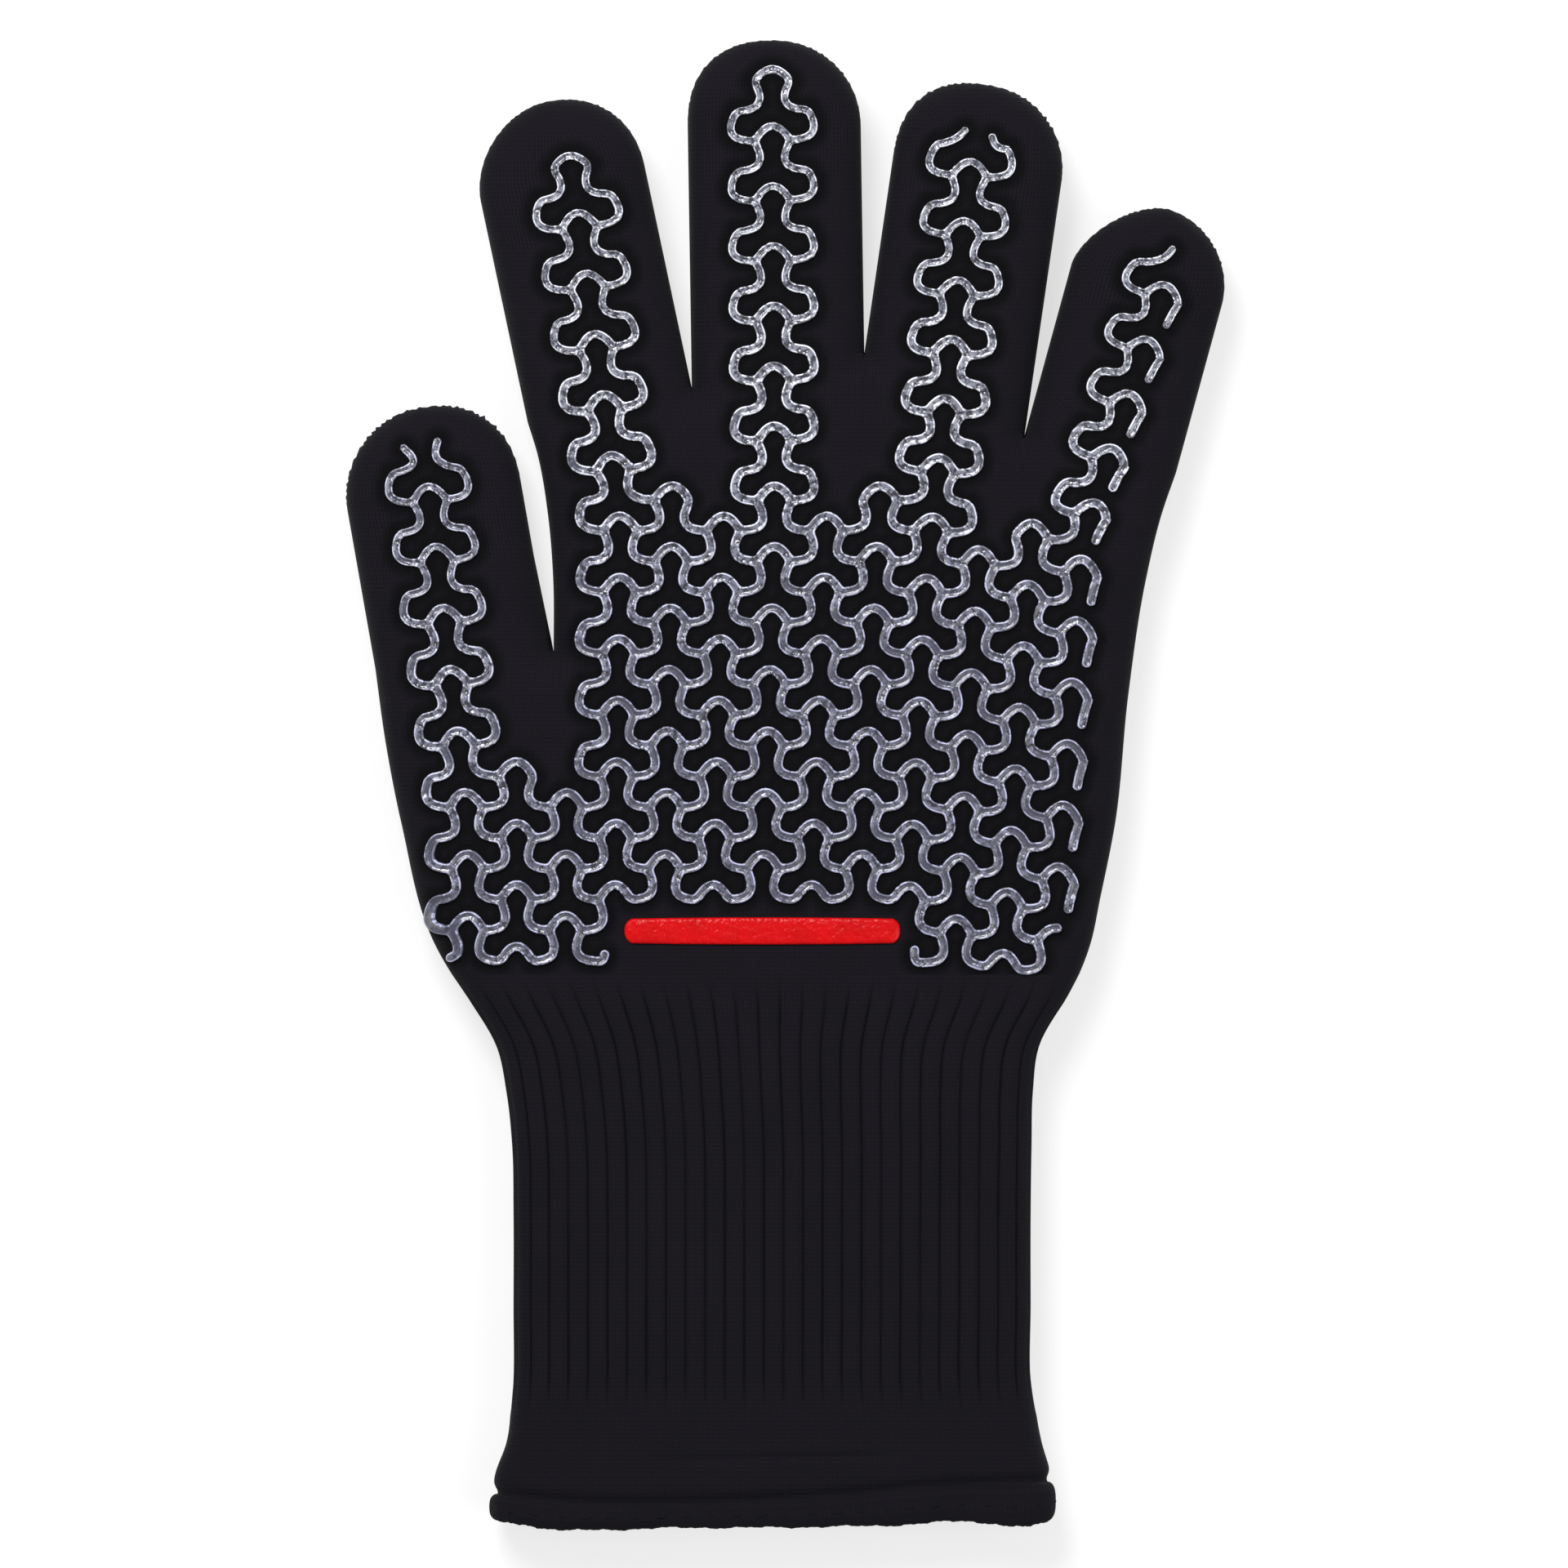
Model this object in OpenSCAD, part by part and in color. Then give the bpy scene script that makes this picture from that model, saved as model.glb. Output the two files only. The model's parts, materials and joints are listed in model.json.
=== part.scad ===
// Heat resistant knitted glove for either hand, lying flat with one grip face up.
// Millimetres. +Z is up, +Y points to the fingertips and the thumb is on the -X side.
// The glove is one textile tube, cut here at its bending lines so that each segment can turn.

/* [Layers] */
// Thickness of the flat outer knit, without the grip beads
glove_thickness = 18; // [14:0.5:24]
// Wall of the outer heat resistant knit
shell_wall = 2.2; // [1.6:0.1:3]
// Wall of the cotton lining
lining_wall = 1.6; // [1:0.1:2.2]
// Play between the outer knit and the lining
layer_gap = 0.15; // [0.1:0.05:0.3]
// Squareness of the rounded edges, where 2 gives an ellipse
edge_power = 2.6; // [2:0.1:4]
// Space between two segments at a bending line
bend_gap = 0.4; // [0.3:0.1:1]

/* [Thumb] */
// Middle of the thumb's root bending line
thumb_root = [-72.3, 35]; // [-120:0.1:120]
// Lean of the thumb away from the palm
thumb_lean = 10; // [0:0.5:25]
// Flat width of the thumb
thumb_width = 39; // [32:0.2:46]
// Lengths of the thumb's segments, root first
thumb_segments = [25, 24.2]; // [21:0.2:34]

/* [Index finger] */
// Middle of the index finger's root bending line
index_root = [-39.7, 90]; // [-120:0.1:120]
// Lean of the index finger towards the thumb
index_lean = 12; // [0:0.5:20]
// Flat width of the index finger
index_width = 37.2; // [30:0.2:44]
// Lengths of the index finger's segments, root first
index_segments = [22, 19, 21.7]; // [14:0.2:34]

/* [Middle finger] */
// Middle of the middle finger's root bending line
middle_root = [-1.3, 103]; // [-120:0.1:120]
// Lean of the middle finger towards the thumb
middle_lean = 0.9; // [-5:0.1:5]
// Flat width of the middle finger
middle_width = 38.4; // [30:0.2:44]
// Lengths of the middle finger's segments, root first
middle_segments = [21.5, 19, 21.5]; // [14:0.2:34]

/* [Ring finger] */
// Middle of the ring finger's root bending line
ring_root = [37.6, 99]; // [-120:0.1:120]
// Lean of the ring finger towards the thumb
ring_lean = -8.3; // [-20:0.1:5]
// Flat width of the ring finger
ring_width = 37.8; // [30:0.2:44]
// Lengths of the ring finger's segments, root first
ring_segments = [20, 16.5, 20.1]; // [14:0.2:34]

/* [Little finger] */
// Middle of the little finger's root bending line
little_root = [72.6, 81.5]; // [-120:0.1:120]
// Lean of the little finger towards the thumb
little_lean = -15.3; // [-25:0.1:0]
// Flat width of the little finger
little_width = 34.6; // [28:0.2:40]
// Lengths of the little finger's segments, root first
little_segments = [16, 13.5, 18.3]; // [12:0.2:30]

/* [Palm] */
// Height of the wrist bending line
wrist_y = -58; // [-75:1:-50]
// Left and right edge at the wrist
wrist_edges = [-63.8, 57.1]; // [-90:0.1:90]
// Height, left edge and right edge below the heel of the hand
heel_low = [-47, -70.5, 63.4]; // [-100:0.1:100]
// Height, left edge and right edge at the heel of the hand
heel = [-36, -77, 67.9]; // [-100:0.1:100]
// Height, left edge and right edge across the ball of the thumb
ball = [-9, -84.6, 73.6]; // [-100:0.1:100]
// Height, left edge and right edge just below the thumb's crotch
thumb_level = [18, -89.6, 76.4]; // [-100:0.1:100]
// Height, left edge and right edge at the foot of the four finger palm
palm_low = [10, -50.4, 75.4]; // [-100:0.1:100]
// Height, left edge and right edge halfway up the four finger palm
palm_mid = [45, -50.8, 80.4]; // [-100:0.1:100]
// Height, left edge and right edge at the knuckles
knuckles = [66, -52.8, 85.4]; // [-100:0.1:100]
// How far each finger's own tube runs down into the palm
root_depth = 36; // [30:0.5:45]
// Thickness left where the palm runs out between two fingers, as a share of the full one
crotch_share = 0.65; // [0.5:0.05:0.9]

/* [Cuff] */
// Left and right edge of the straight ribbed part
cuff_edges = [-60.3, 55.5]; // [-80:0.1:80]
// Heights between which the ribbed part is straight
cuff_straight = [-134, -78]; // [-160:1:-60]
// Left and right edge at the hem
hem_edges = [-63.5, 59]; // [-90:0.1:90]
// Height of the cuff's lower edge
hem_y = -165; // [-200:1:-140]
// Thickness of the cuff at the hem
hem_thickness = 15; // [12:0.5:20]
// Height of the binding folded over the cuff's edge
binding_height = 7; // [5:0.5:12]
// Thickness of the binding outside the knit and inside the lining
binding_wall = 0.7; // [0.5:0.1:0.7]
// Thickness of the binding across the edge
binding_floor = 1.6; // [1:0.1:3]
// Stitches along each side of the hem
stitch_count = 24; // [12:1:30]
// Length and width of a stitch
stitch_size = [3, 0.7]; // [0.4:0.1:4]

/* [Grip beads] */
// Height of the silicone beads
bead_height = 1; // [0.8:0.1:1.5]
// Width of the silicone beads
bead_width = 2.4; // [1.8:0.1:3]
// Radius of the silicone web at the bead crossings
web_radius = 1; // [0.5:0.1:1.2]
// Middle column's place at the level where the fingers' rows begin
grip_start = [-1.85, 56.1]; // [-100:0.05:100]
// Row pitch in the palm and on the fingers
row_pitch = [13.6, 13.3]; // [12:0.1:15]
// Column pitch at the level where the fingers' rows begin
column_pitch = 11.36; // [10:0.02:13]
// Sideways drift and widening of the columns for each mm upwards
column_fan = [0.035, 0.0064]; // [0:0.0001:0.1]
// Droop of the rows towards the little finger, for each squared column past the second
row_droop = 0.175; // [0:0.005:0.3]
// How far a finger's rows turn with its leaning column, as a share of its lean
row_tilt = 0.7; // [0:0.05:1]
// Share of a bead's length, from each crossing, where it turns
bend_share = 0.3; // [0.26:0.01:0.4]

// Bare margin along the glove's rounded edge
edge_margin = 3.2; // [2:0.2:8]

/* [Red bar] */
// Middle of the plain red bar
bar_middle = [-4.6, -32.4]; // [-60:0.1:60]
// Length and width of the red bar
bar_size = [61, 6]; // [3:0.5:80]

/* [Hidden] */
half_thickness = glove_thickness / 2;
mid_z = bead_height + half_thickness;
top_z = bead_height + glove_thickness;
lining_out = shell_wall + layer_gap;
lining_in = lining_out + lining_wall;
slice_depth = 0.5;
past_end = 1;
net_bands = 8;
band_rows = 1.5;
first_band = -7.135;
patch_gap = 0.06;
tilt_rise = 20;
far = 200;

// name, root, lean, width, segments, grip column, lean of its beads for each mm, level where that begins, row share
FINGERS = [
  ["thumb", thumb_root, thumb_lean, thumb_width, thumb_segments, -6, -0.115, -7.3, 0.99],
  ["index", index_root, index_lean, index_width, index_segments, -3, -0.156, 58, 1.008],
  ["middle", middle_root, middle_lean, middle_width, middle_segments, 0, -0.041, 56, 0.998],
  ["ring", ring_root, ring_lean, ring_width, ring_segments, 3, 0.052, 44.6, 0.985],
  ["little", little_root, little_lean, little_width, little_segments, 6, 0.254, 54.5, 0.905]
];

// grip column, first row, last row; odd columns sit half a row higher
GRIP_COLUMNS = [
  [-6, -6, 0], [-5, -6.5, -4.5], [-4, -6, -5], [-3, -5.5, 5.5], [-2, -5, 0], [-1, -5.5, -0.5],
  [0, -5, 7], [1, -5.5, -0.5], [2, -5, 0], [3, -5.5, 5.5], [4, -6, -1], [5, -6.5, -0.5]
];
// open cells: column, row, first corner, last corner, then the free ends before and after those corners
GRIP_ENDS = [
  [-6, 1, 3, 9, [[0.2, 0.52], [0.13, 0.3], [0.33, 0.05]], [[-0.33, 0.05], [-0.26, 0.25], [-0.5, 0.5]]],
  [3, 6.5, 3, 9, [[0.33, 0.2], [0.42, 0.08]], [[-0.42, 0.07], [-0.22, 0.1], [-0.17, 0.26]]],
  [6, 5, 7, 9, [], [[-0.36, 0.07], [-0.17, 0.13], [-0.1, 0.37]]],
  [6, -7, 11, 11, [], [[-0.17, 0.67], [0.05, 0.75]]],
  [4, -7, 9, 11, [[-0.83, 0.2], [-0.79, 0.04]], []],
  [-4, -7, 1, 3, [], [[0.77, 0.01], [0.81, 0.11]]],
  [-6, -7, 11, 11, [], [[-0.2, 0.31], [-0.2, 0.17], [-0.35, 0.06]]]
];
// column of hooks along the edge, whose cells have no right arm: column, first row, last row, free end
GRIP_HOOKS = [6, -6, 4, [[0.27, 0.3], [0.24, 0.12]]];
// corners of a three armed cell, clockwise from the top, in columns and rows
// every second one is a crossing, and between them each bead bends towards the middle of a cell
CELL = [
  [0, 1], [1/3, 1/2], [0, 0], [2/3, 0], [1, -1/2], [1/3, -1/2],
  [0, 0], [-1/3, -1/2], [-1, -1/2], [-2/3, 0], [0, 0], [-1/3, 1/2]
];

function total(list, count) = count <= 0 ? 0 : list[count - 1] + total(list, count - 1);
function segment_last(f) = len(f[4]) - 1;
function segment_word(f, i) = i == 0 ? "base" : i == segment_last(f) ? "tip" : "mid";
function segment_name(f, i, layer) = str(f[0], "_", segment_word(f, i), "_", layer);
function segment_from(f, i) = total(f[4], i) + bend_gap / 2;
function segment_to(f, i) = total(f[4], i + 1) - bend_gap / 2;
function tip_centre(f) = max(segment_from(f, segment_last(f)) + 0.5, total(f[4], len(f[4])) - f[3] / 2);
function along(f, d) = f[1] + d * [-sin(f[2]), cos(f[2])];

// the glove is centred on its own outline
frame_x = -(along(FINGERS[0], tip_centre(FINGERS[0])).x - thumb_width / 2
  + along(FINGERS[4], tip_centre(FINGERS[4])).x + little_width / 2) / 2;
frame_y = -(along(FINGERS[2], tip_centre(FINGERS[2])).y + middle_width / 2 + hem_y) / 2;

// a flat section with rounded edges: right edge from below, then left edge from above
function squared(value) = sign(value) * pow(abs(value), 2 / edge_power);
function rim(reach, high) = [for (t = [-90 : 22.5 : 90]) [reach * squared(cos(t)), high * squared(sin(t))]];
function section(left, right, high) = let (reach = min(high, (right - left) / 2), edge = rim(reach, high), n = len(edge))
  concat([for (p = edge) [right - reach + p.x, p.y]], [for (i = [n - 1 : -1 : 0]) [left + reach - edge[i].x, edge[i].y]]);

module placed() {
  translate([frame_x, frame_y, 0]) children();
}

module on_finger(f) {
  placed() translate([f[1].x, f[1].y, mid_z]) rotate([0, 0, f[2]]) children();
}

// straight length of a finger's tube, inset from the outer face
module tube(width, from, to, inset) {
  translate([0, from, 0]) rotate([-90, 0, 0]) linear_extrude(to - from)
    polygon(section(inset - width / 2, width / 2 - inset, half_thickness - inset));
}

// rounded end of a finger
module fingertip(width, at, inset) {
  high = half_thickness - inset;
  flat = width / 2 - half_thickness;
  translate([0, at, 0]) rotate_extrude(angle = 180, $fn = 48)
    polygon(concat([[0, -high]], [for (p = rim(high, high)) [flat + p.x, p.y]], [[0, high]]));
}

module segment_body(f, i, inset, past) {
  if (i == segment_last(f)) {
    tube(f[3], segment_from(f, i) - past, tip_centre(f), inset);
    fingertip(f[3], tip_centre(f), inset);
  } else {
    tube(f[3], segment_from(f, i) - past, segment_to(f, i) + past, inset);
  }
}

module segment_shell(f, i) {
  color([0.1, 0.1, 0.11]) on_finger(f) difference() {
    segment_body(f, i, 0, 0);
    segment_body(f, i, shell_wall, past_end);
  }
}

module segment_lining(f, i) {
  color([0.2, 0.2, 0.21]) on_finger(f) difference() {
    segment_body(f, i, lining_out, 0);
    segment_body(f, i, lining_in, past_end);
  }
}

// thin slice of the palm: height, left, right, half thickness
module slice(s, inset) {
  translate([0, s[0], mid_z]) rotate([-90, 0, 0]) linear_extrude(slice_depth)
    polygon(section(s[1] + inset, s[2] - inset, s[3] - inset));
}

module loft(slices, inset) {
  for (i = [0 : len(slices) - 2]) hull() {
    slice(slices[i], inset);
    slice(slices[i + 1], inset);
  }
}

function full(level) = [level[0], level[1], level[2], half_thickness];

module palm_body(inset, past) {
  wrist = [wrist_y + bend_gap / 2 - past, wrist_edges[0], wrist_edges[1], half_thickness];
  thin = crotch_share * half_thickness;
  thumb_crotch = [thumb_level[0] + 11 - inset, thumb_level[1] + 10, thumb_level[2] - 15, thin];
  finger_crotch = [knuckles[0] + 11 - inset, knuckles[1] + 8, knuckles[2] - 10, thin];
  loft([wrist, full(heel_low), full(heel), full(ball), full(thumb_level), thumb_crotch], inset);
  loft([full(palm_low), full(palm_mid), full(knuckles), finger_crotch], inset);
  for (f = FINGERS) translate([f[1].x, f[1].y, mid_z]) rotate([0, 0, f[2]])
    tube(f[3], -root_depth, past - bend_gap / 2, inset);
}

module palm_shell() {
  color([0.1, 0.1, 0.11]) placed() difference() {
    palm_body(0, 0);
    palm_body(shell_wall, past_end);
  }
}

module palm_lining() {
  color([0.2, 0.2, 0.21]) placed() difference() {
    palm_body(lining_out, 0);
    palm_body(lining_in, past_end);
  }
}

// the cuff lies on the level of the palm's lower face and thins towards its hem
function ring(s, inset) = [for (p = section(s[1] + inset, s[2] - inset, s[3] - inset)) [p.x, s[0], bead_height + s[3] + p.y]];

// open sleeve through the slices, between two insets from its outer face
module sleeve(slices, outside, inside) {
  n = len(ring(slices[0], outside));
  m = len(slices);
  function at(layer, k, j) = (layer * m + k) * n + j % n;
  points = [for (inset = [outside, inside], s = slices) each ring(s, inset)];
  outer = [for (k = [0 : m - 2], j = [0 : n - 1]) each [
    [at(0, k, j), at(0, k, j + 1), at(0, k + 1, j + 1)],
    [at(0, k, j), at(0, k + 1, j + 1), at(0, k + 1, j)]
  ]];
  inner = [for (k = [0 : m - 2], j = [0 : n - 1]) each [
    [at(1, k, j), at(1, k + 1, j + 1), at(1, k, j + 1)],
    [at(1, k, j), at(1, k + 1, j), at(1, k + 1, j + 1)]
  ]];
  mouth = [for (j = [0 : n - 1]) [at(0, 0, j + 1), at(0, 0, j), at(1, 0, j), at(1, 0, j + 1)]];
  wrist = [for (j = [0 : n - 1]) [at(0, m - 1, j), at(0, m - 1, j + 1), at(1, m - 1, j + 1), at(1, m - 1, j)]];
  polyhedron(points, concat(outer, inner, mouth, wrist));
}

hem_half = hem_thickness / 2;
CUFF = [
  [hem_y + binding_floor + layer_gap, hem_edges[0], hem_edges[1], hem_half],
  [hem_y + binding_height + 2, hem_edges[0], hem_edges[1], hem_half],
  [hem_y + 2 * binding_height + 4, cuff_edges[0] - 1, cuff_edges[1] + 1, hem_half + 0.2],
  [cuff_straight[0], cuff_edges[0], cuff_edges[1], hem_half + 0.5],
  [cuff_straight[1], cuff_edges[0], cuff_edges[1], half_thickness - 0.3],
  [wrist_y - bend_gap / 2, wrist_edges[0], wrist_edges[1], half_thickness]
];

module cuff_shell() {
  color([0.11, 0.11, 0.12]) placed() sleeve(CUFF, 0, shell_wall);
}

module cuff_lining() {
  color([0.2, 0.2, 0.21]) placed() sleeve(CUFF, lining_out, lining_in);
}

// straight block of the hem's section
module hem_block(from, to, inset) {
  translate([0, from, bead_height + hem_half]) rotate([-90, 0, 0]) linear_extrude(to - from)
    polygon(section(hem_edges[0] + inset, hem_edges[1] - inset, hem_half - inset));
}

// knit tape folded over the edge of both layers
module hem_binding() {
  play = 0.05;
  color([0.08, 0.08, 0.09]) placed() difference() {
    hem_block(hem_y, hem_y + binding_height, -binding_wall);
    hem_block(hem_y - past_end, hem_y + binding_height + past_end, lining_in + play + binding_wall);
    difference() {
      hem_block(hem_y + binding_floor, hem_y + binding_height + past_end, -play);
      hem_block(hem_y, hem_y + binding_height + 2 * past_end, lining_in + play);
    }
  }
}

module hem_stitches() {
  tall = bead_height - binding_wall;
  first = hem_edges[0] + half_thickness;
  pitch = (hem_edges[1] - hem_edges[0] - glove_thickness) / stitch_count;
  color([0.05, 0.05, 0.05]) placed()
    for (i = [0 : stitch_count - 1], z = [0, hem_thickness + bead_height + binding_wall])
      translate([first + i * pitch + (pitch - stitch_size.x) / 2, hem_y + binding_height - 2, z])
        cube([stitch_size.x, stitch_size.y, tall]);
}

// place of a point of the bead net on finger f's column
function grip_point(f, u, v) = let (
  rise = v > 0 ? v * row_pitch[1] * f[8] : v * row_pitch[0],
  y = grip_start.y + rise - row_droop * pow(max(0, u - 2), 2),
  past = max(0, y - f[7]),
  tilt = row_tilt * f[6] * min(past / tilt_rise, 1),
  x = grip_start.x + column_fan[0] * rise + u * (column_pitch + column_fan[1] * rise)
) [x + f[6] * past, y - tilt * (u - f[5]) * column_pitch];
PLAIN = ["palm", [0, 0], 0, 0, [0], 0, 0, 0, 1];
function strip_of(u) = let (own = [for (f = FINGERS) if (f[5] == u) f]) len(own) > 0 ? own[0] : PLAIN;
function cell_point(f, u, v, i) = let (c = CELL[i % 12]) grip_point(f, u + c.x, v + c.y);
function mix(a, b, t) = a + (b - a) * t;
// a corner of the cell: a crossing stays, a bend is eased into a curve from crossing to crossing
function curve(a, b, c, t) = mix(mix(a, b, t), mix(b, c, t), t);
function cell_corner(f, u, v, i) = let (p = cell_point(f, u, v, i)) i % 2 == 1 ? [p]
  : let (before = cell_point(f, u, v, i + 11), after = cell_point(f, u, v, i + 1))
    [curve(before, p, after, bend_share), curve(before, p, after, 1 - bend_share)];
function cell_path(f, u, v, from, to) = [for (i = [from : to]) each cell_corner(f, u, v, i)];

// one closed cell
module cell(f, u, v) {
  path = cell_path(f, u, v, 0, 11);
  difference() {
    offset(delta = bead_width / 2) polygon(path);
    offset(delta = -bead_width / 2) polygon(path);
  }
}

// a bead along an open path
module bead(path) {
  for (i = [0 : len(path) - 2]) {
    across = cross_unit(path[i + 1] - path[i]) * bead_width / 2;
    polygon([path[i] + across, path[i + 1] + across, path[i + 1] - across, path[i] - across]);
  }
  for (p = path) translate(p) circle(d = bead_width, $fn = 12);
}
function cross_unit(d) = [-d.y, d.x] / norm(d);

// cell with some of its corners and free ends before and after them
function free_end(f, u, v, places) = [for (p = places) grip_point(f, u + p.x, v + p.y)];
module open_cell(f, c) {
  before = free_end(f, c[0], c[1], c[4]);
  after = free_end(f, c[0], c[1], c[5]);
  bead(concat(before, cell_path(f, c[0], c[1], c[2], c[3]), after));
}

module column(f, c) {
  for (v = [c[1] : c[2]]) cell(f, c[0], v);
}

module edge_column(f) {
  for (v = [GRIP_HOOKS[1] : GRIP_HOOKS[2]]) open_cell(f, [GRIP_HOOKS[0], v, 7, 13, [], GRIP_HOOKS[3]]);
}

// beads of one finger's column
module strip(f) {
  for (c = GRIP_COLUMNS) if (c[0] == f[5]) column(f, c);
  for (c = GRIP_ENDS) if (c[0] == f[5]) open_cell(f, c);
  if (GRIP_HOOKS[0] == f[5]) edge_column(f);
}

module whole_net() {
  for (c = GRIP_COLUMNS) column(strip_of(c[0]), c);
  for (c = GRIP_ENDS) open_cell(strip_of(c[0]), c);
  edge_column(strip_of(GRIP_HOOKS[0]));
}

// plan of a finger between two distances from its root line
module finger_plan(f, from, to) {
  translate(f[1]) rotate(f[2]) translate([-f[3] / 2 - 1, from]) square([f[3] + 2, to - from]);
}

// beads with small webs in the corners where they meet
module webbed() {
  offset(r = -web_radius, $fn = 6) offset(delta = web_radius) children();
}

// a patch of the net, a little smaller all round so that patches stay apart
module beads_at(z) {
  translate([0, 0, z]) linear_extrude(bead_height) offset(delta = -patch_gap / 2) children();
}

// flat part of the palm's face below the thumb's crotch
module palm_flat() {
  levels = [heel_low, heel, ball, thumb_level];
  n = len(levels);
  offset(delta = -edge_margin) polygon(concat(
    [for (i = [0 : n - 1]) [levels[i][1], levels[i][0]]],
    [[levels[n - 1][1], far], [far, far]],
    [for (i = [n - 1 : -1 : 0]) [levels[i][2] + (i == n - 1 ? edge_margin : 0), levels[i][0]]]
  ));
}

// lower edge of a band of the palm's net: it follows a row, just below the crossings
function band_edge(i) = [for (u = [-9 : 9]) grip_point(PLAIN, u, first_band + i * band_rows)];
module band(i) {
  upper = band_edge(i + 1);
  polygon(concat(band_edge(i), [for (k = [len(upper) - 1 : -1 : 0]) upper[k]]));
}

// the palm's net, laid down in bands across the hand
module palm_beads(z) {
  for (i = [0 : net_bands - 1]) beads_at(z) difference() {
    intersection() {
      webbed() whole_net();
      palm_flat();
      band(i);
    }
    for (f = FINGERS) finger_plan(f, -bend_gap / 2, far);
  }
}

module palm_grip() {
  color([0.52, 0.51, 0.58]) placed() palm_beads(top_z);
}

module back_grip() {
  color([0.52, 0.51, 0.58]) placed() palm_beads(0);
}

module segment_grip(f, i) {
  to = i == segment_last(f) ? far : segment_to(f, i);
  color([0.52, 0.51, 0.58]) placed() for (z = [0, top_z]) beads_at(z) intersection() {
    webbed() strip(f);
    finger_plan(f, segment_from(f, i), to);
  }
}

module red_bar() {
  straight = bar_size.x - bar_size.y;
  color([0.85, 0.04, 0.05]) placed() translate([bar_middle.x, bar_middle.y, top_z])
    linear_extrude(bead_height) union() {
      square([straight, bar_size.y], center = true);
      for (side = [-1, 1]) translate([side * straight / 2, 0]) circle(d = bar_size.y, $fn = 12);
    }
}

palm_shell();
palm_lining();
palm_grip();
back_grip();
red_bar();
cuff_shell();
cuff_lining();
hem_binding();
hem_stitches();
for (f = FINGERS, i = [0 : segment_last(f)]) {
  segment_shell(f, i);
  segment_lining(f, i);
  segment_grip(f, i);
}
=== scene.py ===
import json
import bpy
import numpy as np
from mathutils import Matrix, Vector


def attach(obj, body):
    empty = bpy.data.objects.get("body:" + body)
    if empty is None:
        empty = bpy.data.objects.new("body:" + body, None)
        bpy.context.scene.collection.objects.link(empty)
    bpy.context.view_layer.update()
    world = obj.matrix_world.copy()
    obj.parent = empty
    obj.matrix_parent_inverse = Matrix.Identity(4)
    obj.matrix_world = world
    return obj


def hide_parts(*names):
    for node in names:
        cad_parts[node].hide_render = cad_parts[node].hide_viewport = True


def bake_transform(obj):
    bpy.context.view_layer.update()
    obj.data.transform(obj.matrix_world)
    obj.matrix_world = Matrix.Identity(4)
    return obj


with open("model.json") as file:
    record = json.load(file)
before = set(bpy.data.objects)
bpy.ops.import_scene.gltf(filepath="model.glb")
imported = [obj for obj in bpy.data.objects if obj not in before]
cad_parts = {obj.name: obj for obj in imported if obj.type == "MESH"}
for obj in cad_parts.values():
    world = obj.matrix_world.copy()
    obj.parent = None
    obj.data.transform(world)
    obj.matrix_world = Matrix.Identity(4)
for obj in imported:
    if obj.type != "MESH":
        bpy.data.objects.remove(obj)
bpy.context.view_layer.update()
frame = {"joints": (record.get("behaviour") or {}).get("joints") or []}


# Finger tubes of the outer glove
# Five padded tubes of black heat-proof yarn, knitted in plain stitch with a closed round tip.
# Each tube is cut in the model at the middle of a finger bone.

MM = 0.001
hinges = {joint["name"]: joint for joint in frame["joints"]}
# the photograph's middle, seen from the frame's origin, in millimetres like every size that isn't said
# to be in metres
PHOTO_MIDDLE = np.array([-0.495, 0.003])
MID_Z = 10.0
HALF_THICKNESS = 9.0
# how far in from its outline the glove reaches its full thickness, and how square its edge is
EDGE_REACH, EDGE_POWER = 10.5, 2.4
# how far below its root a finger's depth stays level
ROOT_FADE = 22.0
# how much two depths are rounded off where they meet, and the depth from which that stays the same
MEETING_SOFT, MEETING_DEPTH = 0.5, 6.0
SHELL_WALL = 2.2
# half the height that stays open inside a tube
HOLLOW_HALF = 0.3
# how far from the cut between two hinges their bends end
CUT_MARGIN = 0.3
CRISP_ANGLE = np.radians(60)


class Finger:
    """A finger tube in plan: its root, its directions across and along, half its width and its hinges.
    The powers say how full its tip is on the left and on the right: 2 is round, and less is more pointed.
    Ragged is how far loops of yarn stand out from the edge of its tip."""

    def __init__(self, name, half, tip, powers, ragged):
        self.parts = [p for p in ("base", "mid", "tip") if f"{name}_{p}_bend" in hinges]
        places = [np.array(hinges[f"{name}_{p}_bend"]["pos_m"][:2]) / MM for p in self.parts]
        self.name, self.half, self.root, self.powers, self.ragged = name, half, places[0], powers, ragged
        self.across = np.array(hinges[f"{name}_base_bend"]["axis"][:2])
        self.along = np.array([-self.across[1], self.across[0]])
        self.bends = [float((place - self.root) @ self.along) for place in places]
        self.length = self.bends[-1] + tip
        self.reach = min(np.diff(self.bends)) / 2 - CUT_MARGIN
        self.bodies = ["palm"] + [f"{name}_{p}" for p in self.parts]

    def point(self, out, up):
        """The place in plan that lies out to the right of the axis and up from the root."""
        return self.root + np.multiply.outer(out, self.across) + np.multiply.outer(up, self.along)

    def local(self, x, y):
        """How far a place lies out from the axis and up from the root."""
        dx, dy = x - self.root[0], y - self.root[1]
        return dx * self.across[0] + dy * self.across[1], dx * self.along[0] + dy * self.along[1]


thumb = Finger("thumb", half=19.5, tip=24.2, powers=(1.95, 2.3), ragged=0.35)
index = Finger("index", half=18.6, tip=21.7, powers=(1.85, 2.2), ragged=0.12)
middle = Finger("middle", half=19.2, tip=21.5, powers=(2.4, 2.05), ragged=0.16)
ring = Finger("ring", half=18.9, tip=20.1, powers=(2.5, 2.05), ragged=0.26)
little = Finger("little", half=17.3, tip=18.3, powers=(1.6, 1.95), ragged=0.16)
fingers = [thumb, index, middle, ring, little]


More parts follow.
